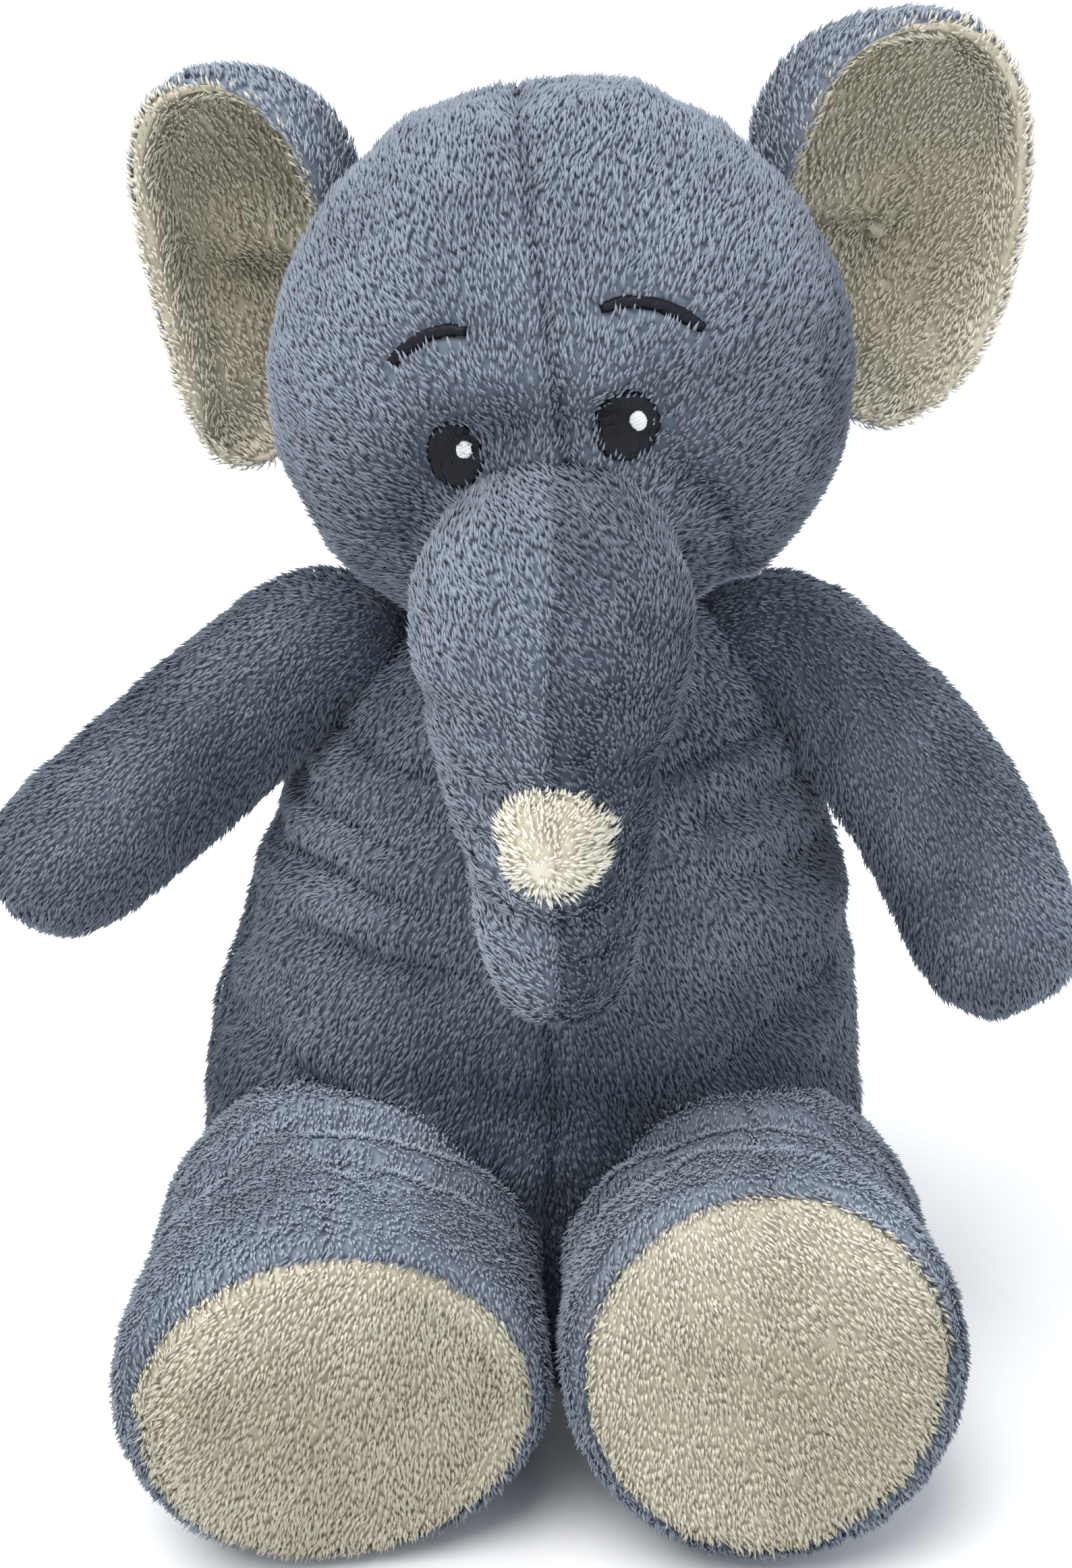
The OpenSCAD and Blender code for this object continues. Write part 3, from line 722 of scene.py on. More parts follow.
def in_head(points):
    """Points of the upright head, tilted and moved to where the head is"""
    points = np.array(points, float)
    x, y, z = points[..., 0], points[..., 1], points[..., 2]
    c, s = math.cos(HEAD_ROLL), math.sin(HEAD_ROLL)
    tilted = np.stack([x * c + z * s, y, z * c - x * s], axis=-1)
    return tilted + np.array(HEAD_PLACE)


def head_panel(x, y, h):
    return (0 if x > 0 else 1) + (0 if y < 0 else 2)


head = plump(
    "head_skin",
    [(0, 0, h, wide, deep) for h, wide, deep in HEAD],
    (1, 0, 0),
    around=80,
    along=60,
    cut=head_panel,
)


def upright(place):
    """Points of the placed head, back in the upright head's frame"""
    off = place - np.array(HEAD_PLACE)
    c, s = math.cos(HEAD_ROLL), math.sin(HEAD_ROLL)
    return np.stack([off[:, 0] * c - off[:, 2] * s, off[:, 1], off[:, 2] * c + off[:, 0] * s], axis=1)


place, _ = corners(head.data)
move(head.data, in_head(place))


def head_seams(place):
    local = upright(place)
    return np.minimum(np.abs(local[:, 0]), np.abs(local[:, 1]))


TRUNK_TOP = np.array((1, -84, 231)) * MM


def head_held(place):
    hold = np.exp(-((head_seams(place) / (2.5 * MM)) ** 2)) * 0.8
    gap = np.linalg.norm(place - TRUNK_TOP, axis=1)
    return np.maximum(hold, np.clip(1.5 - gap / (30 * MM), 0, 1))


fill_out(head, head_held, room=3 * MM, spare=0.02)
finer(head)
seam(head, head_seams, deep=1.4, wide=2.2)
# the cheeks are drawn in round the trunk
place, facing = corners(head.data)
gap = np.linalg.norm((place - TRUNK_TOP) * (1, 0.6, 1), axis=1)
dip = -3.0 * MM * np.exp(-(((gap - 33 * MM) / (7 * MM)) ** 2)) * front(place, facing)
move(head.data, place + facing * dip[:, None])
CHEEK_FOLDS = [
    ([(31, 249), (38, 240), (41, 228), (38, 216), (30, 208)], 3.4, 3.4),
    ([(-33, 236), (-39, 226), (-36, 214)], 1.6, 4.0),
    ([(44, 246), (50, 236), (50, 224)], 1.2, 4.0),
    ([(-20, 247), (-6, 249), (4, 251), (14, 252)], 1.8, 3.0),
]
for line, deep, wide in CHEEK_FOLDS:
    pull_in(head, line, deep, wide, near=front)

# Where the threads of the face are sewn: (x, z) of each eye's middle
EYES = {"left": (15.6, 263.0), "right": (-20.7, 255.8)}
EYE_SIZE = {"left": (14.2, 15.6), "right": (12.2, 15.2)}  # mm, width and height
EYE_TILT = math.radians(-6)
BROWS = {
    "left": [(9.8, 287.2), (15, 288.6), (21, 288.0), (26.5, 285.8), (31.5, 282.4)],
    "right": [(-34.2, 274.4), (-30.5, 278.4), (-26, 281.2), (-21.5, 282.5), (-17.8, 282.1)],
}
BROW_WIDE = 2.7 * MM


def in_eye(place, side, grow=0.0):
    """How far out in an eye's oval, 1 at its edge"""
    x, z = (place[:, 0] - EYES[side][0] * MM), (place[:, 2] - EYES[side][1] * MM)
    c, s = math.cos(EYE_TILT * SIDES[side]), math.sin(EYE_TILT * SIDES[side])
    wide, high = (size / 2 * MM + grow for size in EYE_SIZE[side])
    return np.hypot((x * c + z * s) / wide, (z * c - x * s) / high)


def face_thread(place):
    """1 where the face is embroidered, or where pile would lie over the threads"""
    bare = np.zeros(len(place))
    # the pile lies upwards, so it is cut away a little below the threads
    place = place + np.array((0, 0, 0.9)) * MM
    for side in SIDES:
        bare = np.maximum(bare, np.clip((1.1 - in_eye(place, side)) * 8, 0, 1))
        gap, _ = gap_to(place[:, [0, 2]] + np.array((0, 0.4)) * MM, BROWS[side])
        bare = np.maximum(bare, np.clip((BROW_WIDE * 0.8 - gap) / (0.5 * MM), 0, 1))
    return np.where(place[:, 1] < HEAD_PLACE.y, bare, 0)


# the threads draw the skin in
place, facing = corners(head.data)
sunk = np.zeros(len(place))
for side in SIDES:
    sunk = np.maximum(sunk, np.clip((1.25 - in_eye(place, side)) * 3, 0, 1))
    gap, _ = gap_to(place[:, [0, 2]], BROWS[side])
    sunk = np.maximum(sunk, np.exp(-((gap / (1.8 * MM)) ** 2)))
sunk = np.where(place[:, 1] < HEAD_PLACE.y, sunk, 0)
move(head.data, place - facing * (1.1 * MM * sunk)[:, None])


def head_nap(place, facing):
    """Up the face from the trunk, fanning out from the middle seam"""
    local = upright(place)
    away = place - TRUNK_TOP
    away /= np.maximum(np.linalg.norm(away, axis=1), 1e-6)[:, None]
    fan = np.stack([local[:, 0] * 9, np.zeros(len(place)), np.ones(len(place))], axis=1)
    return fan + 0.7 * away


def head_thick(place, facing):
    thick = np.where(place[:, 1] < 5 * MM, PILE_THICK * 1.1, PILE_THIN)
    thick = np.where(place[:, 2] < 207 * MM, 0.5 * thick, thick)
    return thick * (1 - face_thread(place))


def head_shade(place, facing):
    local = upright(place)
    # painted light: the head is paler towards the crown, where light from above falls, and darker on the lower cheeks;
    # the seams are darker too
    high = np.clip((local[:, 2] + 20 * MM) / (70 * MM), 0, 1)
    seam_dark = 0.22 * np.exp(-((head_seams(place) / (1.5 * MM)) ** 2))
    return 0.4 + 0.26 * high - seam_dark


shaded(head.data, head_nap, head_thick, head_shade)
face_skin = BVHTree.FromPolygons(
    [v.co.copy() for v in head.data.vertices], [tuple(p.vertices) for p in head.data.polygons]
)
pack(head, "head_wadding", "head", ["head_stuffing"])
sew(
    head,
    {
        0: ("face_left_panel", ["head_front_left"]),
        1: ("face_right_panel", ["head_front_right"]),
        2: ("nape_left_panel", ["head_back_left"]),
        3: ("nape_right_panel", ["head_back_right"]),
    },
    grey_plush,
    "head",
)

# ---- Eyes and eyebrows ----
# Satin stitch in black rayon thread, close rows laid side by side through the
# pile. A small stitch of white thread in each eye is its glint.


def thread(name, deep, pale, gloss):
    material, shader = finish(name, Roughness=gloss, Specular_IOR_Level=0.3)
    tree = material.node_tree
    lay = add_node(tree, "ShaderNodeUVMap", uv_map="thread")
    twist = add_node(
        tree, "ShaderNodeTexNoise", {"Vector": lay.outputs["UV"], "Scale": 2.5, "Detail": 3.0}
    )
    colour = add_node(
        tree,
        "ShaderNodeMix",
        {"Factor": twist.outputs["Fac"], "A": pure(deep), "B": pure(pale)},
        data_type="RGBA",
    )
    tree.links.new(colour.outputs["Result"], shader.inputs["Base Color"])
    return material


black_thread = thread("black_thread", (4, 6, 14), (17, 21, 34), 0.55)
white_thread = thread("white_thread", (214, 216, 222), (255, 255, 255), 0.5)


def satin(name, outline, pitch, rise, slant, material, body, node, extra=0.0):
    """A pad of satin stitch on the face: outline(u, v) gives the (x, z) of a square's point"""
    rows, across = 42, 46
    pad = bmesh.new()
    bmesh.ops.create_grid(pad, x_segments=across, y_segments=rows, size=1)
    for v in pad.verts:
        u, w = v.co.x, v.co.y
        x, z, edge = outline(u, w)
        hit, normal, _, _ = face_skin.ray_cast(Vector((x, -0.3, z)), Vector((0, 1, 0)))
        ridge = 0.5 + 0.5 * math.cos(2 * math.pi * (x * math.sin(slant) + z * math.cos(slant)) / pitch)
        dome = math.sqrt(max(0.0, 1 - edge**2))
        lift = (0.7 + rise * dome + 0.16 * ridge * min(1, dome * 3)) * MM + extra
        v.co = hit + normal * lift
    wall = bmesh.ops.extrude_face_region(pad, geom=pad.faces[:])
    under = [g for g in wall["geom"] if isinstance(g, bmesh.types.BMVert)]
    for v in under:
        spot, normal, _, _ = face_skin.find_nearest(v.co)
        v.co = spot - normal * 0.6 * MM
    bmesh.ops.recalc_face_normals(pad, faces=pad.faces)
    lay = pad.loops.layers.uv.new("thread")
    for f in pad.faces:
        f.smooth = True
        for loop in f.loops:
            x, z = loop.vert.co.x, loop.vert.co.z
            c, s = math.cos(slant), math.sin(slant)
            loop[lay].uv = ((x * c - z * s) / (4 * pitch), (x * s + z * c) / pitch)
    mesh = bpy.data.meshes.new(name)
    pad.to_mesh(mesh)
    pad.free()
    mesh.materials.append(material)
    piece = made(name, mesh)
    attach(piece, body)
    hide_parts(node)
    return piece


def oval(middle, wide, high, tilt):
    """Outline of an oval whose middle is (x, z); the square's corners are eased in"""

    def outline(u, w):
        x, z = u * math.sqrt(1 - w * w / 2), w * math.sqrt(1 - u * u / 2)
        ragged = 1 + 0.025 * math.sin(math.atan2(z, x) * 23) * math.hypot(x, z)
        c, s = math.cos(tilt), math.sin(tilt)
        wx, hz = x * wide / 2 * ragged, z * high / 2 * ragged
        return middle[0] * MM + wx * c - hz * s, middle[1] * MM + wx * s + hz * c, math.hypot(x, z)

    return outline


def band(line, wide):
    """Outline of a stroke of stitches along a line of (x, z)"""
    path = eased(line, 60, 10)

    def outline(u, w):
        along = (u * 0.5 + 0.5) * 59
        k = min(int(along), 58)
        spot = path[k] + (path[k + 1] - path[k]) * (along - k)
        run = path[k + 1] - path[k]
        run = run / np.linalg.norm(run)
        half = wide / 2 * (1 - 0.35 * u**6) * (1 + 0.06 * math.sin(u * 41))
        return spot[0] - run[1] * w * half, spot[1] + run[0] * w * half, max(abs(w), abs(u) ** 8)

    return outline


for side, sign in SIDES.items():
    x, z = EYES[side]
    wide, high = EYE_SIZE[side]
    satin(
        f"eye_{side}_stitching",
        oval((x, z), wide * MM, high * MM, EYE_TILT * sign),
        0.9 * MM,
        0.9,
        math.radians(62),
        black_thread,
        "head",
        f"eye_{side}",
    )
    satin(
        f"eye_{side}_glint_stitching",
        oval((x + 2.4, z + 1.6), 3.6 * MM, 4.4 * MM, 0.3),
        0.8 * MM,
        0.5,
        math.radians(-30),
        white_thread,
        "head",
        f"eye_glint_{side}",
        extra=1.15 * MM,
    )
    satin(
        f"eyebrow_{side}_stitching",
        band(BROWS[side], BROW_WIDE),
        1.0 * MM,
        0.8,
        math.radians(70 * sign),
        black_thread,
        "head",
        f"eyebrow_{side}",
    )

# ---- Neck ----
# A ball of wadding between the head and the torso, which lets the head turn.
# The grey cloth that the two skins are gathered in with covers it. The ball takes the grey plush without its tuft map,
# so it shows the pile's darkest colour all over, as painted shade in the gap under the head.


def wad(name, middle, size, body, node, cloth=wadding):
    """A ball of wadding in a joint"""
    ball = bmesh.new()
    bmesh.ops.create_icosphere(ball, subdivisions=4, radius=size / 2 * MM)
    bmesh.ops.translate(ball, vec=Vector(middle) * MM, verts=ball.verts)
    mesh = bpy.data.meshes.new(name)
    ball.to_mesh(mesh)
    ball.free()
    mesh.materials.append(cloth)
    mesh.shade_smooth()
    piece = made(name, mesh)
    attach(piece, body)
    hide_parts(node)


wad("neck_packing", (0, -3, 197), 46, "neck", "neck_wadding", grey_plush)

# ---- Trunk ----
# Two grey halves with a seam down the middle, sewn as one tapering tube that
# hangs from the face and bends once, and an ivory patch on the front of its end.

# x, y, z of the tube's middle, half width, half depth
TRUNK = [
    (1, -58, 237, 0, 0),
    (1, -63, 237, 17, 15),
    (1, -74, 235, 24.5, 22),
    (0, -84, 227, 29, 26),
    (-0.5, -88, 215, 28.5, 26.5),
    (-0.2, -90, 203, 26, 24.5),
    (0.3, -91.5, 188, 22.3, 22),
    (1, -93.5, 172, 18.8, 19),
    (1.5, -95, 157, 16.3, 16.5),
    (2, -95.5, 146, 15, 15),
    (2, -95.5, 138, 11.5, 12),
    (2, -95.5, 134.5, 6, 6),
    (2, -95.5, 133.5, 0, 0),
]
trunk = plump(
    "trunk_skin", TRUNK, (1, 0, 0), around=64, along=64, cut=lambda x, y, h: 0 if x > 0 else 1
)


def trunk_middle(place):
    """The x of the trunk's middle seam at each point's height"""
    line = np.array(sorted((z, x) for x, y, z, *_ in TRUNK)) * MM
    return np.interp(place[:, 2], line[:, 0], line[:, 1])


def trunk_seam(place):
    return np.abs(place[:, 0] - trunk_middle(place))


def trunk_held(place):
    hold = np.exp(-((trunk_seam(place) / (2 * MM)) ** 2)) * 0.8
    return np.maximum(hold, np.clip((place[:, 2] - 236 * MM) / (10 * MM), 0, 1))


fill_out(trunk, trunk_held, room=2 * MM, spare=0.015)
finer(trunk)
seam(trunk, trunk_seam, deep=0.9, wide=1.8)
PATCH = np.array((0.5, 182)) * MM
PATCH_R = 11.6 * MM
for line, deep, wide in (
    ([(-22, 196), (-12, 192), (-2, 196)], 1.2, 3.0),
    ([(-20, 165), (-8, 162), (6, 162), (18, 166)], 1.6, 3.0),
    ([(14, 200), (22, 196), (28, 198)], 1.0, 3.0),
):
    pull_in(trunk, line, deep, wide, near=front)


def on_patch(place, grow=0.0):
    gap = np.linalg.norm((place[:, [0, 2]] - PATCH) * (1, 0.93), axis=1)
    return np.where(place[:, 1] < -96 * MM, np.clip((PATCH_R + grow - gap) / (1.2 * MM), 0, 1), 0)


place, facing = corners(trunk.data)
move(trunk.data, place - facing * (1.2 * MM * on_patch(place))[:, None])


def trunk_nap(place, facing):
    left = place[:, 0] > trunk_middle(place)
    across = np.where(left, -0.5, -0.45)
    rise = np.where(left, 0.75, 1.0)
    return np.stack([across, np.zeros(len(place)), rise], axis=1)


def trunk_thick(place, facing):
    return PILE_THICK * 1.15 * (1 - on_patch(place))


def trunk_shade(place, facing):
    # painted shade: the toy's left half of the trunk is darker, where its pile catches less light; the seam is darker
    # too
    left = np.clip((place[:, 0] - trunk_middle(place)) / (1.5 * MM), -1, 1) * 0.5 + 0.5
    return 0.6 - 0.3 * left - 0.1 * np.exp(-((trunk_seam(place) / (1.4 * MM)) ** 2))


shaded(trunk.data, trunk_nap, trunk_thick, trunk_shade)
trunk_skin = BVHTree.FromPolygons(
    [v.co.copy() for v in trunk.data.vertices], [tuple(p.vertices) for p in trunk.data.polygons]
)
TRUNK_BEND = (
    "trunk_upper",
    "trunk_tip",
    Vector((2.2, -89, 206)) * MM,
    Vector((2.8, -93, 170)) * MM,
)
pack(
    trunk,
    "trunk_wadding",
    None,
    ["trunk_upper_stuffing", "trunk_tip_stuffing"],
    inset=3.0,
    blend=TRUNK_BEND,
)
sew(
    trunk,
    {
        0: ("trunk_left_panel", ["trunk_upper_left", "trunk_tip_left"]),
        1: ("trunk_right_panel", ["trunk_upper_right", "trunk_tip_right"]),
    },
    grey_plush,
    None,
    blend=TRUNK_BEND,
)

# the ivory patch: a round of plush let in, its edge turned under
patch = bmesh.new()
bmesh.ops.create_grid(patch, x_segments=34, y_segments=34, size=1)
panel = patch.faces.layers.int.new("panel")
for v in patch.verts:
    u, w = v.co.x, v.co.y
    x, z = u * math.sqrt(1 - w * w / 2), w * math.sqrt(1 - u * u / 2)
    out = math.hypot(x, z)
    uneven = 1 + 0.03 * math.sin(3 * math.atan2(z, x) + 1) + 0.02 * math.sin(7 * math.atan2(z, x))
    hit, normal, _, _ = trunk_skin.ray_cast(
        Vector((PATCH[0] + x * PATCH_R * uneven, -0.3, PATCH[1] + z * PATCH_R * 1.08 * uneven)),
        Vector((0, 1, 0)),
    )
    v.co = hit + normal * (0.5 + 2.2 * math.sqrt(max(0.0, 1 - out**4))) * MM
bmesh.ops.reverse_faces(patch, faces=patch.faces)
patch_mesh = bpy.data.meshes.new("trunk_patch_skin")
patch.to_mesh(patch_mesh)
patch.free()
patch_skin = made("trunk_patch_skin", patch_mesh)
_, facing = corners(patch_mesh)
if facing[:, 1].mean() > 0:
    patch_mesh.flip_normals()


def patch_nap(place, facing):
    """Outwards from the middle of the patch"""
    out = np.zeros_like(place)
    out[:, [0, 2]] = (place[:, [0, 2]] - PATCH) * 80
    return out + (0.25, 0, 0.5)


shaded(
    patch_mesh,
    patch_nap,
    lambda place, facing: np.full(len(place), 1.2e6),
    lambda place, facing: np.full(len(place), 0.72),
)
sew(
    patch_skin,
    {0: ("trunk_tip_patch", ["trunk_patch"])},
    ivory_plush,
    None,
    blend=TRUNK_BEND,
)

# ---- Ears ----
# A cream layer and a grey layer sewn right sides together and turned, thinly
# padded. The inner edge is folded forwards and the root is sewn into the side of the head.

# For each ear, in order round its edge: the edge's x, y, z, and the place that
# the layers swing out towards between the middle and the edge.
EARS = {
    "right": {
        "middle": (-78, 7, 284),
        "edge": [
            ((-52, -16, 296), (-36, 2, 291)),
            ((-56, -20, 308), (-28, 2, 310)),
            ((-62, -19, 319.5), (-40, 2, 335)),
            ((-74, -15, 327), (-68, 4, 339)),
            ((-89.5, -12, 324), (-89.5, 6, 326)),
            ((-97, -10, 311), (-96, 6, 312)),
            ((-94.5, -8, 287), (-92, 6, 289)),
            ((-89, -6, 258), (-86, 8, 262)),
            ((-84, -4, 240), (-82, 9, 248)),
            ((-71, -1, 233), (-71, 9, 241)),
            ((-61, 4, 242), (-65, 11, 250)),
            ((-57, 6, 266), (-60, 14, 268)),
            ((-50, 2, 285), (-48, 13, 286)),
        ],
    },
    "left": {
        "middle": (83, 7, 293),
        "edge": [
            ((54, -16, 304), (38, 2, 298)),
            ((58, -20, 319), (28, 2, 320)),
            ((64, -19, 332), (42, 2, 345)),
            ((79, -15, 340), (75, 4, 349)),
            ((98, -12, 338), (98, 6, 339.5)),
            ((109, -10, 322), (108, 6, 322)),
            ((110, -8, 294), (108, 6, 295)),
            ((106, -7, 271), (103, 8, 273)),
            ((96, -5, 252), (93, 9, 257)),
            ((79, -1, 243), (79, 9, 250)),
            ((65, 4, 253), (68, 11, 260)),
            ((60, 6, 274), (62, 14, 277)),
            ((53, 2, 295), (50, 13, 296)),
        ],
    },
}
EAR_THICK = 2.6 * MM
EAR_AROUND, EAR_ALONG = 72, 36


def looped(keys, count):
    """Smooth closed line through keys, at count even steps"""
    keys = np.array(keys, float) * MM
    keys = np.vstack([keys, keys[:1]])
    walk = np.arange(count) / count * (len(keys) - 1)
    path = np.stack([np.interp(walk, np.arange(len(keys)), k) for k in keys.T], axis=1)
    for _ in range(10):
        path = (np.roll(path, 1, axis=0) + 2 * path + np.roll(path, -1, axis=0)) / 4
    return path


for side, sign in SIDES.items():
    ear = EARS[side]
    ball = bmesh.new()
    bmesh.ops.create_uvsphere(ball, u_segments=EAR_AROUND, v_segments=EAR_ALONG, radius=1)
    panel = ball.faces.layers.int.new("panel")
    for f in ball.faces:
        spot = f.calc_center_median()
        # the seam is on the edge at the fold, and a little behind it further out
        round_at = math.atan2(spot.y, spot.x) / (2 * math.pi) % 1
        behind = 0.34 * min(1, max(0, 6 * min(round_at - 0.2, 0.8 - round_at)))
        f[panel] = 0 if spot.z > -behind else 1
    ear_mesh = bpy.data.meshes.new("ear_skin")
    ball.to_mesh(ear_mesh)
    ball.free()
    ball_at, _ = corners(ear_mesh)
    lap = np.arctan2(ball_at[:, 1], ball_at[:, 0]) / (2 * math.pi) % 1 * EAR_AROUND
    lap = np.round(lap).astype(int) % EAR_AROUND
    reach = np.hypot(ball_at[:, 0], ball_at[:, 1])
    rim = looped([edge for edge, _ in ear["edge"]], EAR_AROUND)
    swing = looped([out for _, out in ear["edge"]], EAR_AROUND)
    heart = np.array(ear["middle"]) * MM

    def sheet(lap, reach):
        """The middle layer of the ear, at a share reach of the way to its edge"""
        share = reach[:, None]
        return heart * (1 - share) ** 2 + swing[lap] * 2 * share * (1 - share) + rim[lap] * share**2

    # the layers' own direction, from small steps on the sheet; it has no
    # direction at its middle, so every point there takes its steps further out
    small, off = 0.02, np.maximum(reach, 0.05)
    around = sheet((lap + 1) % EAR_AROUND, off) - sheet((lap - 1) % EAR_AROUND, off)
    inward = sheet(lap, off - small) - sheet(lap, off + small)
    forward = np.cross(inward, around)
    forward /= np.linalg.norm(forward, axis=1)[:, None]
    # +1 if the cream side would face backwards
    flip = -np.sign(forward[reach < 0.4][:, 1].mean())
    forward *= flip
    top = ball_at[:, 2]
    thick = EAR_THICK * np.sign(top) * np.sqrt(np.abs(top))
    place = sheet(lap, reach) + forward * thick[:, None]
    move(ear_mesh, place)
    skin = made("ear_skin", ear_mesh)
    shell = bmesh.new()
    shell.from_mesh(ear_mesh)
    bmesh.ops.recalc_face_normals(shell, faces=shell.faces)
    shell.to_mesh(ear_mesh)
    shell.free()
    root = np.array([edge for edge, _ in ear["edge"]][-4:] + [ear["edge"][0][0]]) * MM

    def ear_held(place):
        gap, _ = gap_to(place, root / MM)
        return np.clip(1.5 - gap / (8 * MM), 0, 1)

    fill_out(skin, ear_held, room=0.5 * MM, spare=0.0)
    finer(skin)
    # two soft dents run outwards from the root
    for high, deep, wide in ((12, 4.0, 6.0), (-16, 3.4, 7.0)):
        start = root.mean(axis=0) / MM + (0, -2, high)
        pull_in(
            skin,
            [start, start + (sign * 12, 3, high * 0.2), start + (sign * 26, 2, high * 0.6)],
            deep,
            wide,
            plane=(0, 1, 2),
            # both layers sink backwards together
            near=lambda place, facing: np.where(facing[:, 1] < 0, 1, -1),
        )

    def ear_nap(place, facing):
        out = place - heart
        return out * (8, 2, 8) + (0.3 * sign, 0, 0.6)

    def ear_shade(place, facing):
        # painted shade: the ear is darker in its hollow middle and paler towards its rim
        gap, _ = gap_to(place, np.vstack([rim, rim[:1]]) / MM)
        return 0.46 + 0.34 * np.exp(-((gap / (13 * MM)) ** 2))

    def ear_thick_pile(place, facing):
        return np.where(facing[:, 1] < 0.2, PILE_THICK, PILE_THIN)

    shaded(skin.data, ear_nap, ear_thick_pile, ear_shade)
    sew(
        skin,
        {
            0: (f"ear_{side}_lining", [f"ear_{side}_inner"]),
            1: (f"ear_{side}_cover", [f"ear_{side}_outer"]),
        },
        {0: cream_plush, 1: grey_plush},
        f"ear_{side}",
    )

# ---- Arms ----
# Each is a front and a back half with a seam above and below, packed softly
# towards the shoulder. A loose wad in the shoulder lets it swing and rise.

# x, y, z and the half thickness of each arm's path; the left arm hangs lower
ARMS = {
    "left": [
        (34, 0, 191, 0),
        (40, -1, 191, 13),
        (50, -2, 190, 17),
        (60, -4, 189, 18.5),
        (72, -9, 180, 19),
        (84, -16, 169, 19.3),
        (95, -23, 156, 20),
        (104, -30, 141, 20.3),
        (110, -36, 128, 19.8),
        (114, -39, 117.5, 17),
        (116, -41, 111.5, 10),
        (117, -41.5, 110, 0),
    ],
    "right": [
        (-34, 0, 191, 0),
        (-40, -1, 191, 13),
        (-50, -2, 190, 17),
        (-60, -3, 189, 19),
        (-74, -8, 178.5, 19.5),
        (-90, -15, 166, 19.5),
        (-106, -22, 153.5, 19.5),
        (-118, -27, 144.5, 19),
        (-127, -31, 138, 16),
        (-131.5, -33, 134.5, 9.5),
        (-133, -33.5, 133.5, 0),
    ],
}
for side, sign in SIDES.items():
    keys = ARMS[side]
    arm = plump(
        "arm_skin",
        [(*key, key[3] * 1.0) for key in keys],
        (0, 1, 0),
        around=48,
        along=40,
        cut=lambda x, y, h: 0 if x < 0 else 1,
    )
    shoulder = np.array(keys[3][:3]) * MM

    def arm_held(place):
        return np.clip(1.7 - np.linalg.norm(place - shoulder, axis=1) / (22 * MM), 0, 1)

    fill_out(arm, arm_held, room=2.5 * MM, spare=0.03)
    finer(arm)
    # the seam runs along the top and the bottom of the arm
    path = eased(keys)[:, :3]

    def arm_seam(place):
        nearest = np.argmin(
            np.linalg.norm(place[:, None, :] - path[None, ::6], axis=2), axis=1
        )
        return np.abs(place[:, 1] - path[::6][nearest][:, 1])

    seam(arm, arm_seam, deep=0.9, wide=2.0)
    for line, deep, wide in (
        ([(64, -26, 190), (68, -32, 176), (64, -28, 162)], 1.6, 3.0),
        ([(78, -36, 186), (82, -40, 174), (78, -38, 160)], 1.3, 3.5),
        ([(92, -44, 170), (98, -50, 158), (92, -48, 148)], 1.0, 4.0),
    ):
        pull_in(arm, [(sign * x, y, z) for x, y, z in line], deep, wide, plane=(0, 1, 2))

    def arm_nap(place, facing):
        nearest = np.argmin(
            np.linalg.norm(place[:, None, :] - path[None, ::6], axis=2), axis=1
        )
        return np.gradient(path[::6], axis=0)[nearest] * 200 + (0, 0, -0.2)

    def arm_shade(place, facing):
        # painted shade: the arms are darker all over than the body and legs of the same cloth; the seam is darker too
        return 0.37 - 0.12 * np.exp(-((arm_seam(place) / (1.4 * MM)) ** 2))

    shaded(arm.data, arm_nap, None, arm_shade)
    pack(arm, f"arm_{side}_wadding", f"arm_{side}", [f"arm_{side}_stuffing"], inset=3.0)
    sew(
        arm,
        {
            0: (f"arm_{side}_front_panel", [f"arm_{side}_front"]),
            1: (f"arm_{side}_back_panel", [f"arm_{side}_back"]),
        },
        grey_plush,
        f"arm_{side}",
    )
    wad(f"shoulder_{side}_packing", (sign * 66, -2, 185), 20, f"shoulder_{side}", f"shoulder_{side}_wadding")

# ---- Legs and soles ----
# Each leg is an outer and an inner half with a seam on top and underneath, and
# ends in a round cream sole, sewn in a little inside the grey edge. Beans weigh the foot.

# x, y, z, half width, half height
LEGS = {
    "left": [
        (47, -18, 43, 0, 0),
        (47.5, -22, 44, 27, 26),
        (48.5, -32, 44, 42, 37),
        (49, -50, 44, 45, 41),
        (49, -72, 44.5, 44, 41.5),
        (49, -94, 47, 44, 43.5),
        (49.5, -109, 50.5, 45, 45.5),
        (49.7, -117, 52.3, 43.5, 44),
        (49.8, -120, 53, 39, 39.5),
        (49.8, -121.5, 53.3, 0, 0),
    ],
    "right": [
        (-48, -18, 43, 0, 0),
        (-49, -22, 45, 28, 27),
        (-50, -32, 45, 43.5, 39),
        (-50.5, -50, 44.5, 48, 42),
        (-51, -75, 43.5, 47, 41),
        (-51, -96, 44, 47.5, 42.5),
        (-51, -110, 44.5, 48.5, 43.5),
        (-50.5, -119, 44.5, 46.5, 42),
        (-50, -122.5, 44.5, 42, 38.5),
        (-49.5, -124, 44.5, 0, 0),
    ],
}
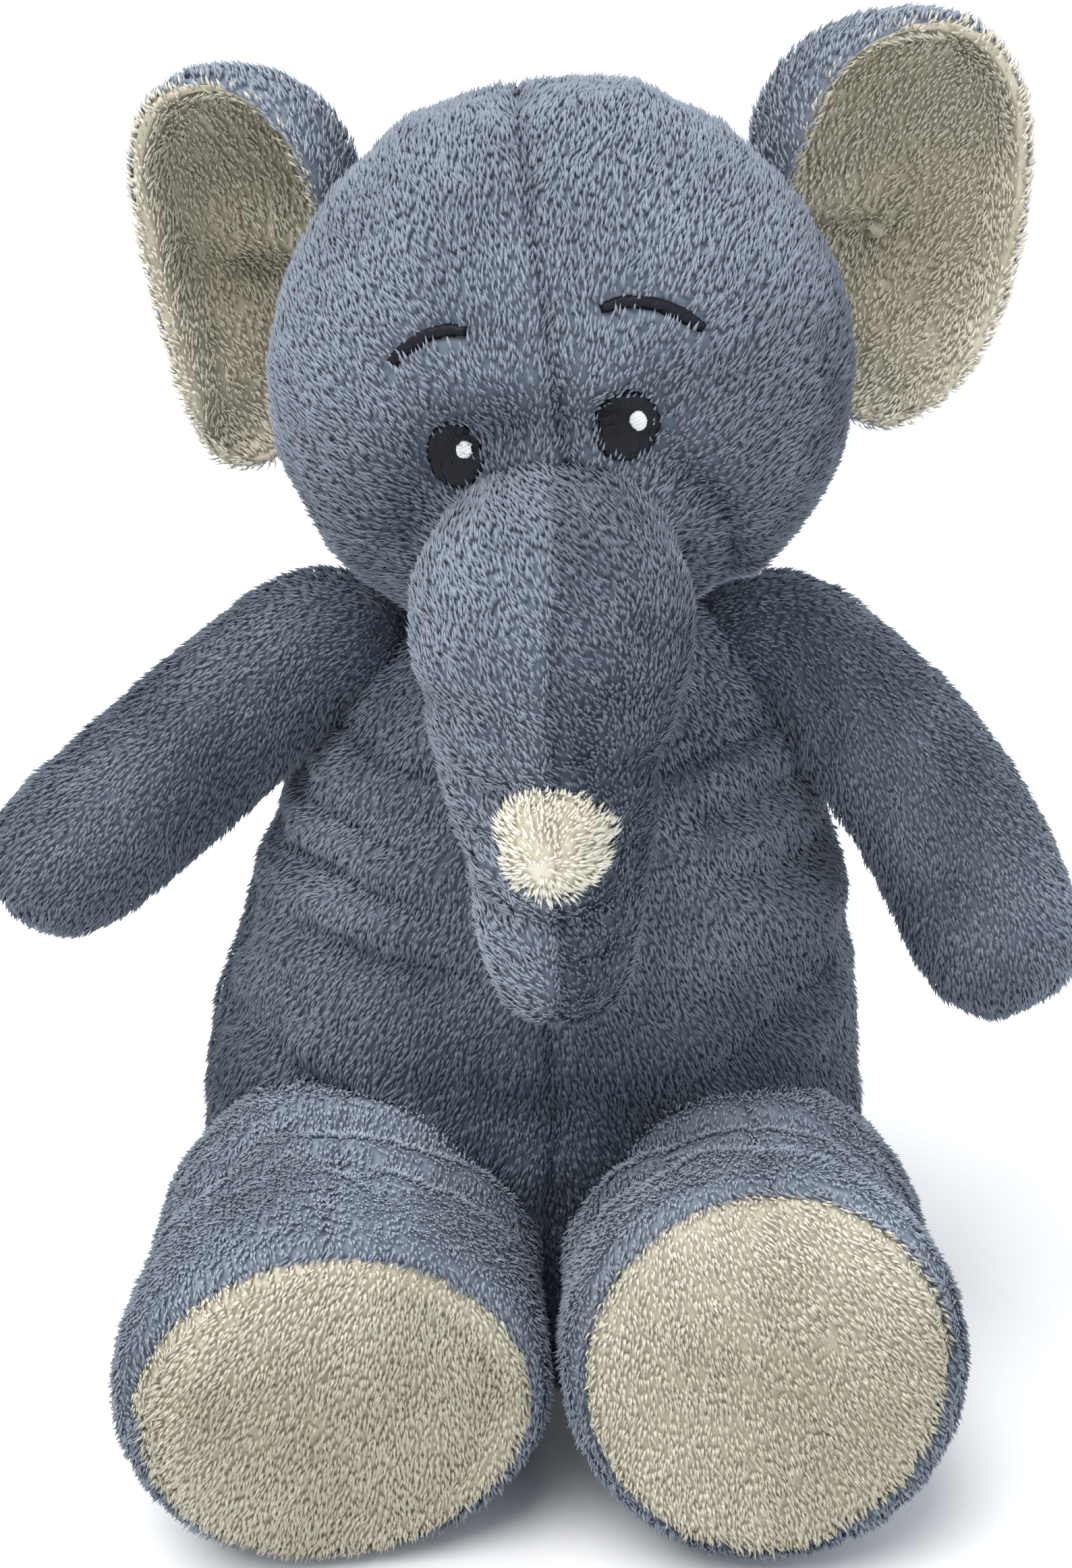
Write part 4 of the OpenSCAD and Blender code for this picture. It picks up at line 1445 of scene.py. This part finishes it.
for side, sign in SIDES.items():
    keys = LEGS[side]
    rounded = eased(keys)
    # the sole's seam runs where the end has rounded in to 0.94 of its width, and
    # outside and underneath only where it has rounded in to 0.86
    rim_at, rim_low = (
        np.nonzero(rounded[:, 3] > share * rounded[:, 3].max())[0][-1] / (len(rounded) - 1)
        for share in (0.94, 0.86)
    )

    def leg_panel(x, y, h):
        low = min(1, max(0, 0.9 * x * sign - 0.5 * y))
        if math.asin(max(-1, min(1, h))) / math.pi + 0.5 > rim_at + (rim_low - rim_at) * low:
            return 2
        return 0 if x > 0 else 1

    leg = plump("leg_skin", keys, (1, 0, 0), around=64, along=56, cut=leg_panel)
    path = eased(keys)[:, :3]
    foot = np.array(keys[-1][:3]) * MM
    ahead = path[-60] - path[-100]
    ahead /= np.linalg.norm(ahead)

    def leg_held(place):
        gap = np.linalg.norm(place - np.array((sign * 50, -49, 44)) * MM, axis=1)
        hold = np.clip(1.9 - gap / (34 * MM), 0, 1)
        return np.where(place[:, 2] < 3.5 * MM, 1.0, hold)

    fill_out(leg, leg_held, room=4 * MM, spare=0.03)
    finer(leg)
    # the sole's seam, where the last panel starts
    layer = leg.data.attributes["panel"].data
    edge_count = {}
    sole_edge = set()
    for polygon, number in zip(leg.data.polygons, layer):
        for v in polygon.vertices:
            edge_count.setdefault(v, set()).add(number.value)
    sole_edge = np.array([v for v, found in edge_count.items() if 2 in found and len(found) > 1])

    def sole_seam(place):
        ring = place[sole_edge]
        return np.min(np.linalg.norm(place[:, None, :] - ring[None, ::2], axis=2), axis=1)

    def leg_seam(place):
        middle = np.interp(-place[:, 1], -path[:, 1], path[:, 0])
        return np.where(place[:, 1] > -116 * MM, np.abs(place[:, 0] - middle), 1)

    seam(leg, sole_seam, deep=1.8, wide=2.4)
    seam(leg, leg_seam, deep=0.8, wide=2.0)
    for line, deep, wide in (
        ([(10, -60, 62), (30, -66, 82), (54, -64, 85), (84, -58, 66)], 4.2, 4.5),
        ([(12, -78, 62), (32, -80, 84), (56, -80, 86)], 2.6, 5.0),
        ([(62, -66, 82), (80, -74, 72), (92, -80, 54)], 2.4, 4.5),
        ([(34, -100, 90), (44, -90, 86), (52, -78, 84)], 2.0, 3.5),
    ):
        pull_in(leg, [(sign * x, y, z) for x, y, z in line], deep, wide, plane=(0, 1, 2))
    place, _ = corners(leg.data)
    place[:, 2] = np.maximum(place[:, 2], 1.2 * MM)
    move(leg.data, place)

    def leg_nap(place, facing):
        on_sole = (facing @ ahead) > 0.75
        out = place - foot
        along = np.tile(np.array((0, -1.0, 0.1)), (len(place), 1))
        return np.where(on_sole[:, None], out * 7 + (0.25 * sign, 0, -0.6), along)

    def leg_thick(place, facing):
        hidden = (place[:, 2] < 2.5 * MM) | (place[:, 1] > -40 * MM) & (np.abs(place[:, 0]) < 60 * MM)
        return np.where(hidden, 0, PILE_THICK)

    def leg_shade(place, facing):
        # painted light: the legs are paler than the body, and paler again on top where light from above falls; the sole
        # seam is darker
        high = np.clip((place[:, 2] - 60 * MM) / (25 * MM), 0, 1)
        return 0.58 + 0.34 * high - 0.25 * np.exp(-((sole_seam(place) / (1.5 * MM)) ** 2))

    shaded(leg.data, leg_nap, leg_thick, leg_shade)
    pack(
        leg,
        f"leg_{side}_wadding",
        f"leg_{side}",
        [f"leg_{side}_stuffing", f"foot_{side}_pellets"],
    )
    near = "outer" if sign > 0 else "inner"
    far = "inner" if sign > 0 else "outer"
    sew(
        leg,
        {
            0: (f"leg_{side}_{near}_panel", [f"leg_{side}_{near}"]),
            1: (f"leg_{side}_{far}_panel", [f"leg_{side}_{far}"]),
            2: (f"sole_{side}_panel", [f"sole_{side}"]),
        },
        {0: grey_plush, 1: grey_plush, 2: cream_plush},
        f"leg_{side}",
    )
    wad(f"hip_{side}_packing", (sign * 50, -49, 44), 38, f"hip_{side}", f"hip_{side}_wadding")

# ---- Tail ----
# A short tube of the grey plush, turned right side out, unpacked, and caught in
# the back seam just above the seat.

TAIL = [
    (0, 58, 68, 0, 0),
    (0, 60, 67.5, 5, 5),
    (0, 66, 66, 6, 6),
    (0, 76, 60, 5.6, 5.2),
    (0, 84, 50, 5.2, 4.8),
    (0, 88, 39, 5, 4.6),
    (0, 89, 32, 3.5, 3.5),
    (0, 89, 29, 0, 0),
]
tail = plump("tail_skin", TAIL, (1, 0, 0), around=24, along=28)
finer(tail)
shaded(tail.data, lambda place, facing: np.tile((0.0, 0.3, -1.0), (len(place), 1)))
sew(tail, {0: ("tail_tube", ["tail"])}, grey_plush, "tail")

# ---- Closing stitches ----
# The gap that the wadding went in through, drawn shut with a ladder of seven
# stitches in grey thread across the back seam.

stitch_low, stitch_high = (Vector(c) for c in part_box("closing_stitches"))
grey_thread, thread_shader = finish("grey_thread", Roughness=0.6, Sheen_Weight=0.2)
tree = grey_thread.node_tree
ply = add_node(
    tree,
    "ShaderNodeTexWave",
    {
        "Vector": add_node(tree, "ShaderNodeTexCoord").outputs["Object"],
        "Scale": 900.0,
        "Distortion": 1.0,
    },
)
ply_tone = add_node(
    tree,
    "ShaderNodeMix",
    {"Factor": ply.outputs["Fac"], "A": pure((70, 82, 100)), "B": pure((120, 132, 150))},
    data_type="RGBA",
)
tree.links.new(ply_tone.outputs["Result"], thread_shader.inputs["Base Color"])
for piece in (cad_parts["closing_stitches"],):
    for index in range(max(1, len(piece.material_slots))):
        if piece.material_slots:
            piece.material_slots[index].material = grey_thread
        else:
            piece.data.materials.append(grey_thread)

# ---- Care label ----
# A folded loop of white satin ribbon, left blank, caught in the side seam low
# on the toy's left.

label_satin, label_shader = finish("label_satin", Roughness=0.38, Sheen_Weight=0.3)
tree = label_satin.node_tree
weave = add_node(
    tree,
    "ShaderNodeTexWave",
    {
        "Vector": add_node(tree, "ShaderNodeTexCoord").outputs["Object"],
        "Scale": 1400.0,
        "Distortion": 0.4,
    },
    bands_direction="Z",
)
label_tone = add_node(
    tree,
    "ShaderNodeMix",
    {"Factor": weave.outputs["Fac"], "A": pure((228, 228, 226)), "B": pure((250, 250, 248))},
    data_type="RGBA",
)
tree.links.new(label_tone.outputs["Result"], label_shader.inputs["Base Color"])
ribs = add_node(
    tree, "ShaderNodeBump", {"Height": weave.outputs["Fac"], "Strength": 0.3, "Distance": 0.0002}
)
tree.links.new(ribs.outputs["Normal"], label_shader.inputs["Normal"])
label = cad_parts["care_label"]
if label.material_slots:
    for slot in label.material_slots:
        slot.material = label_satin
else:
    label.data.materials.append(label_satin)

bpy.data.objects.remove(tuft)
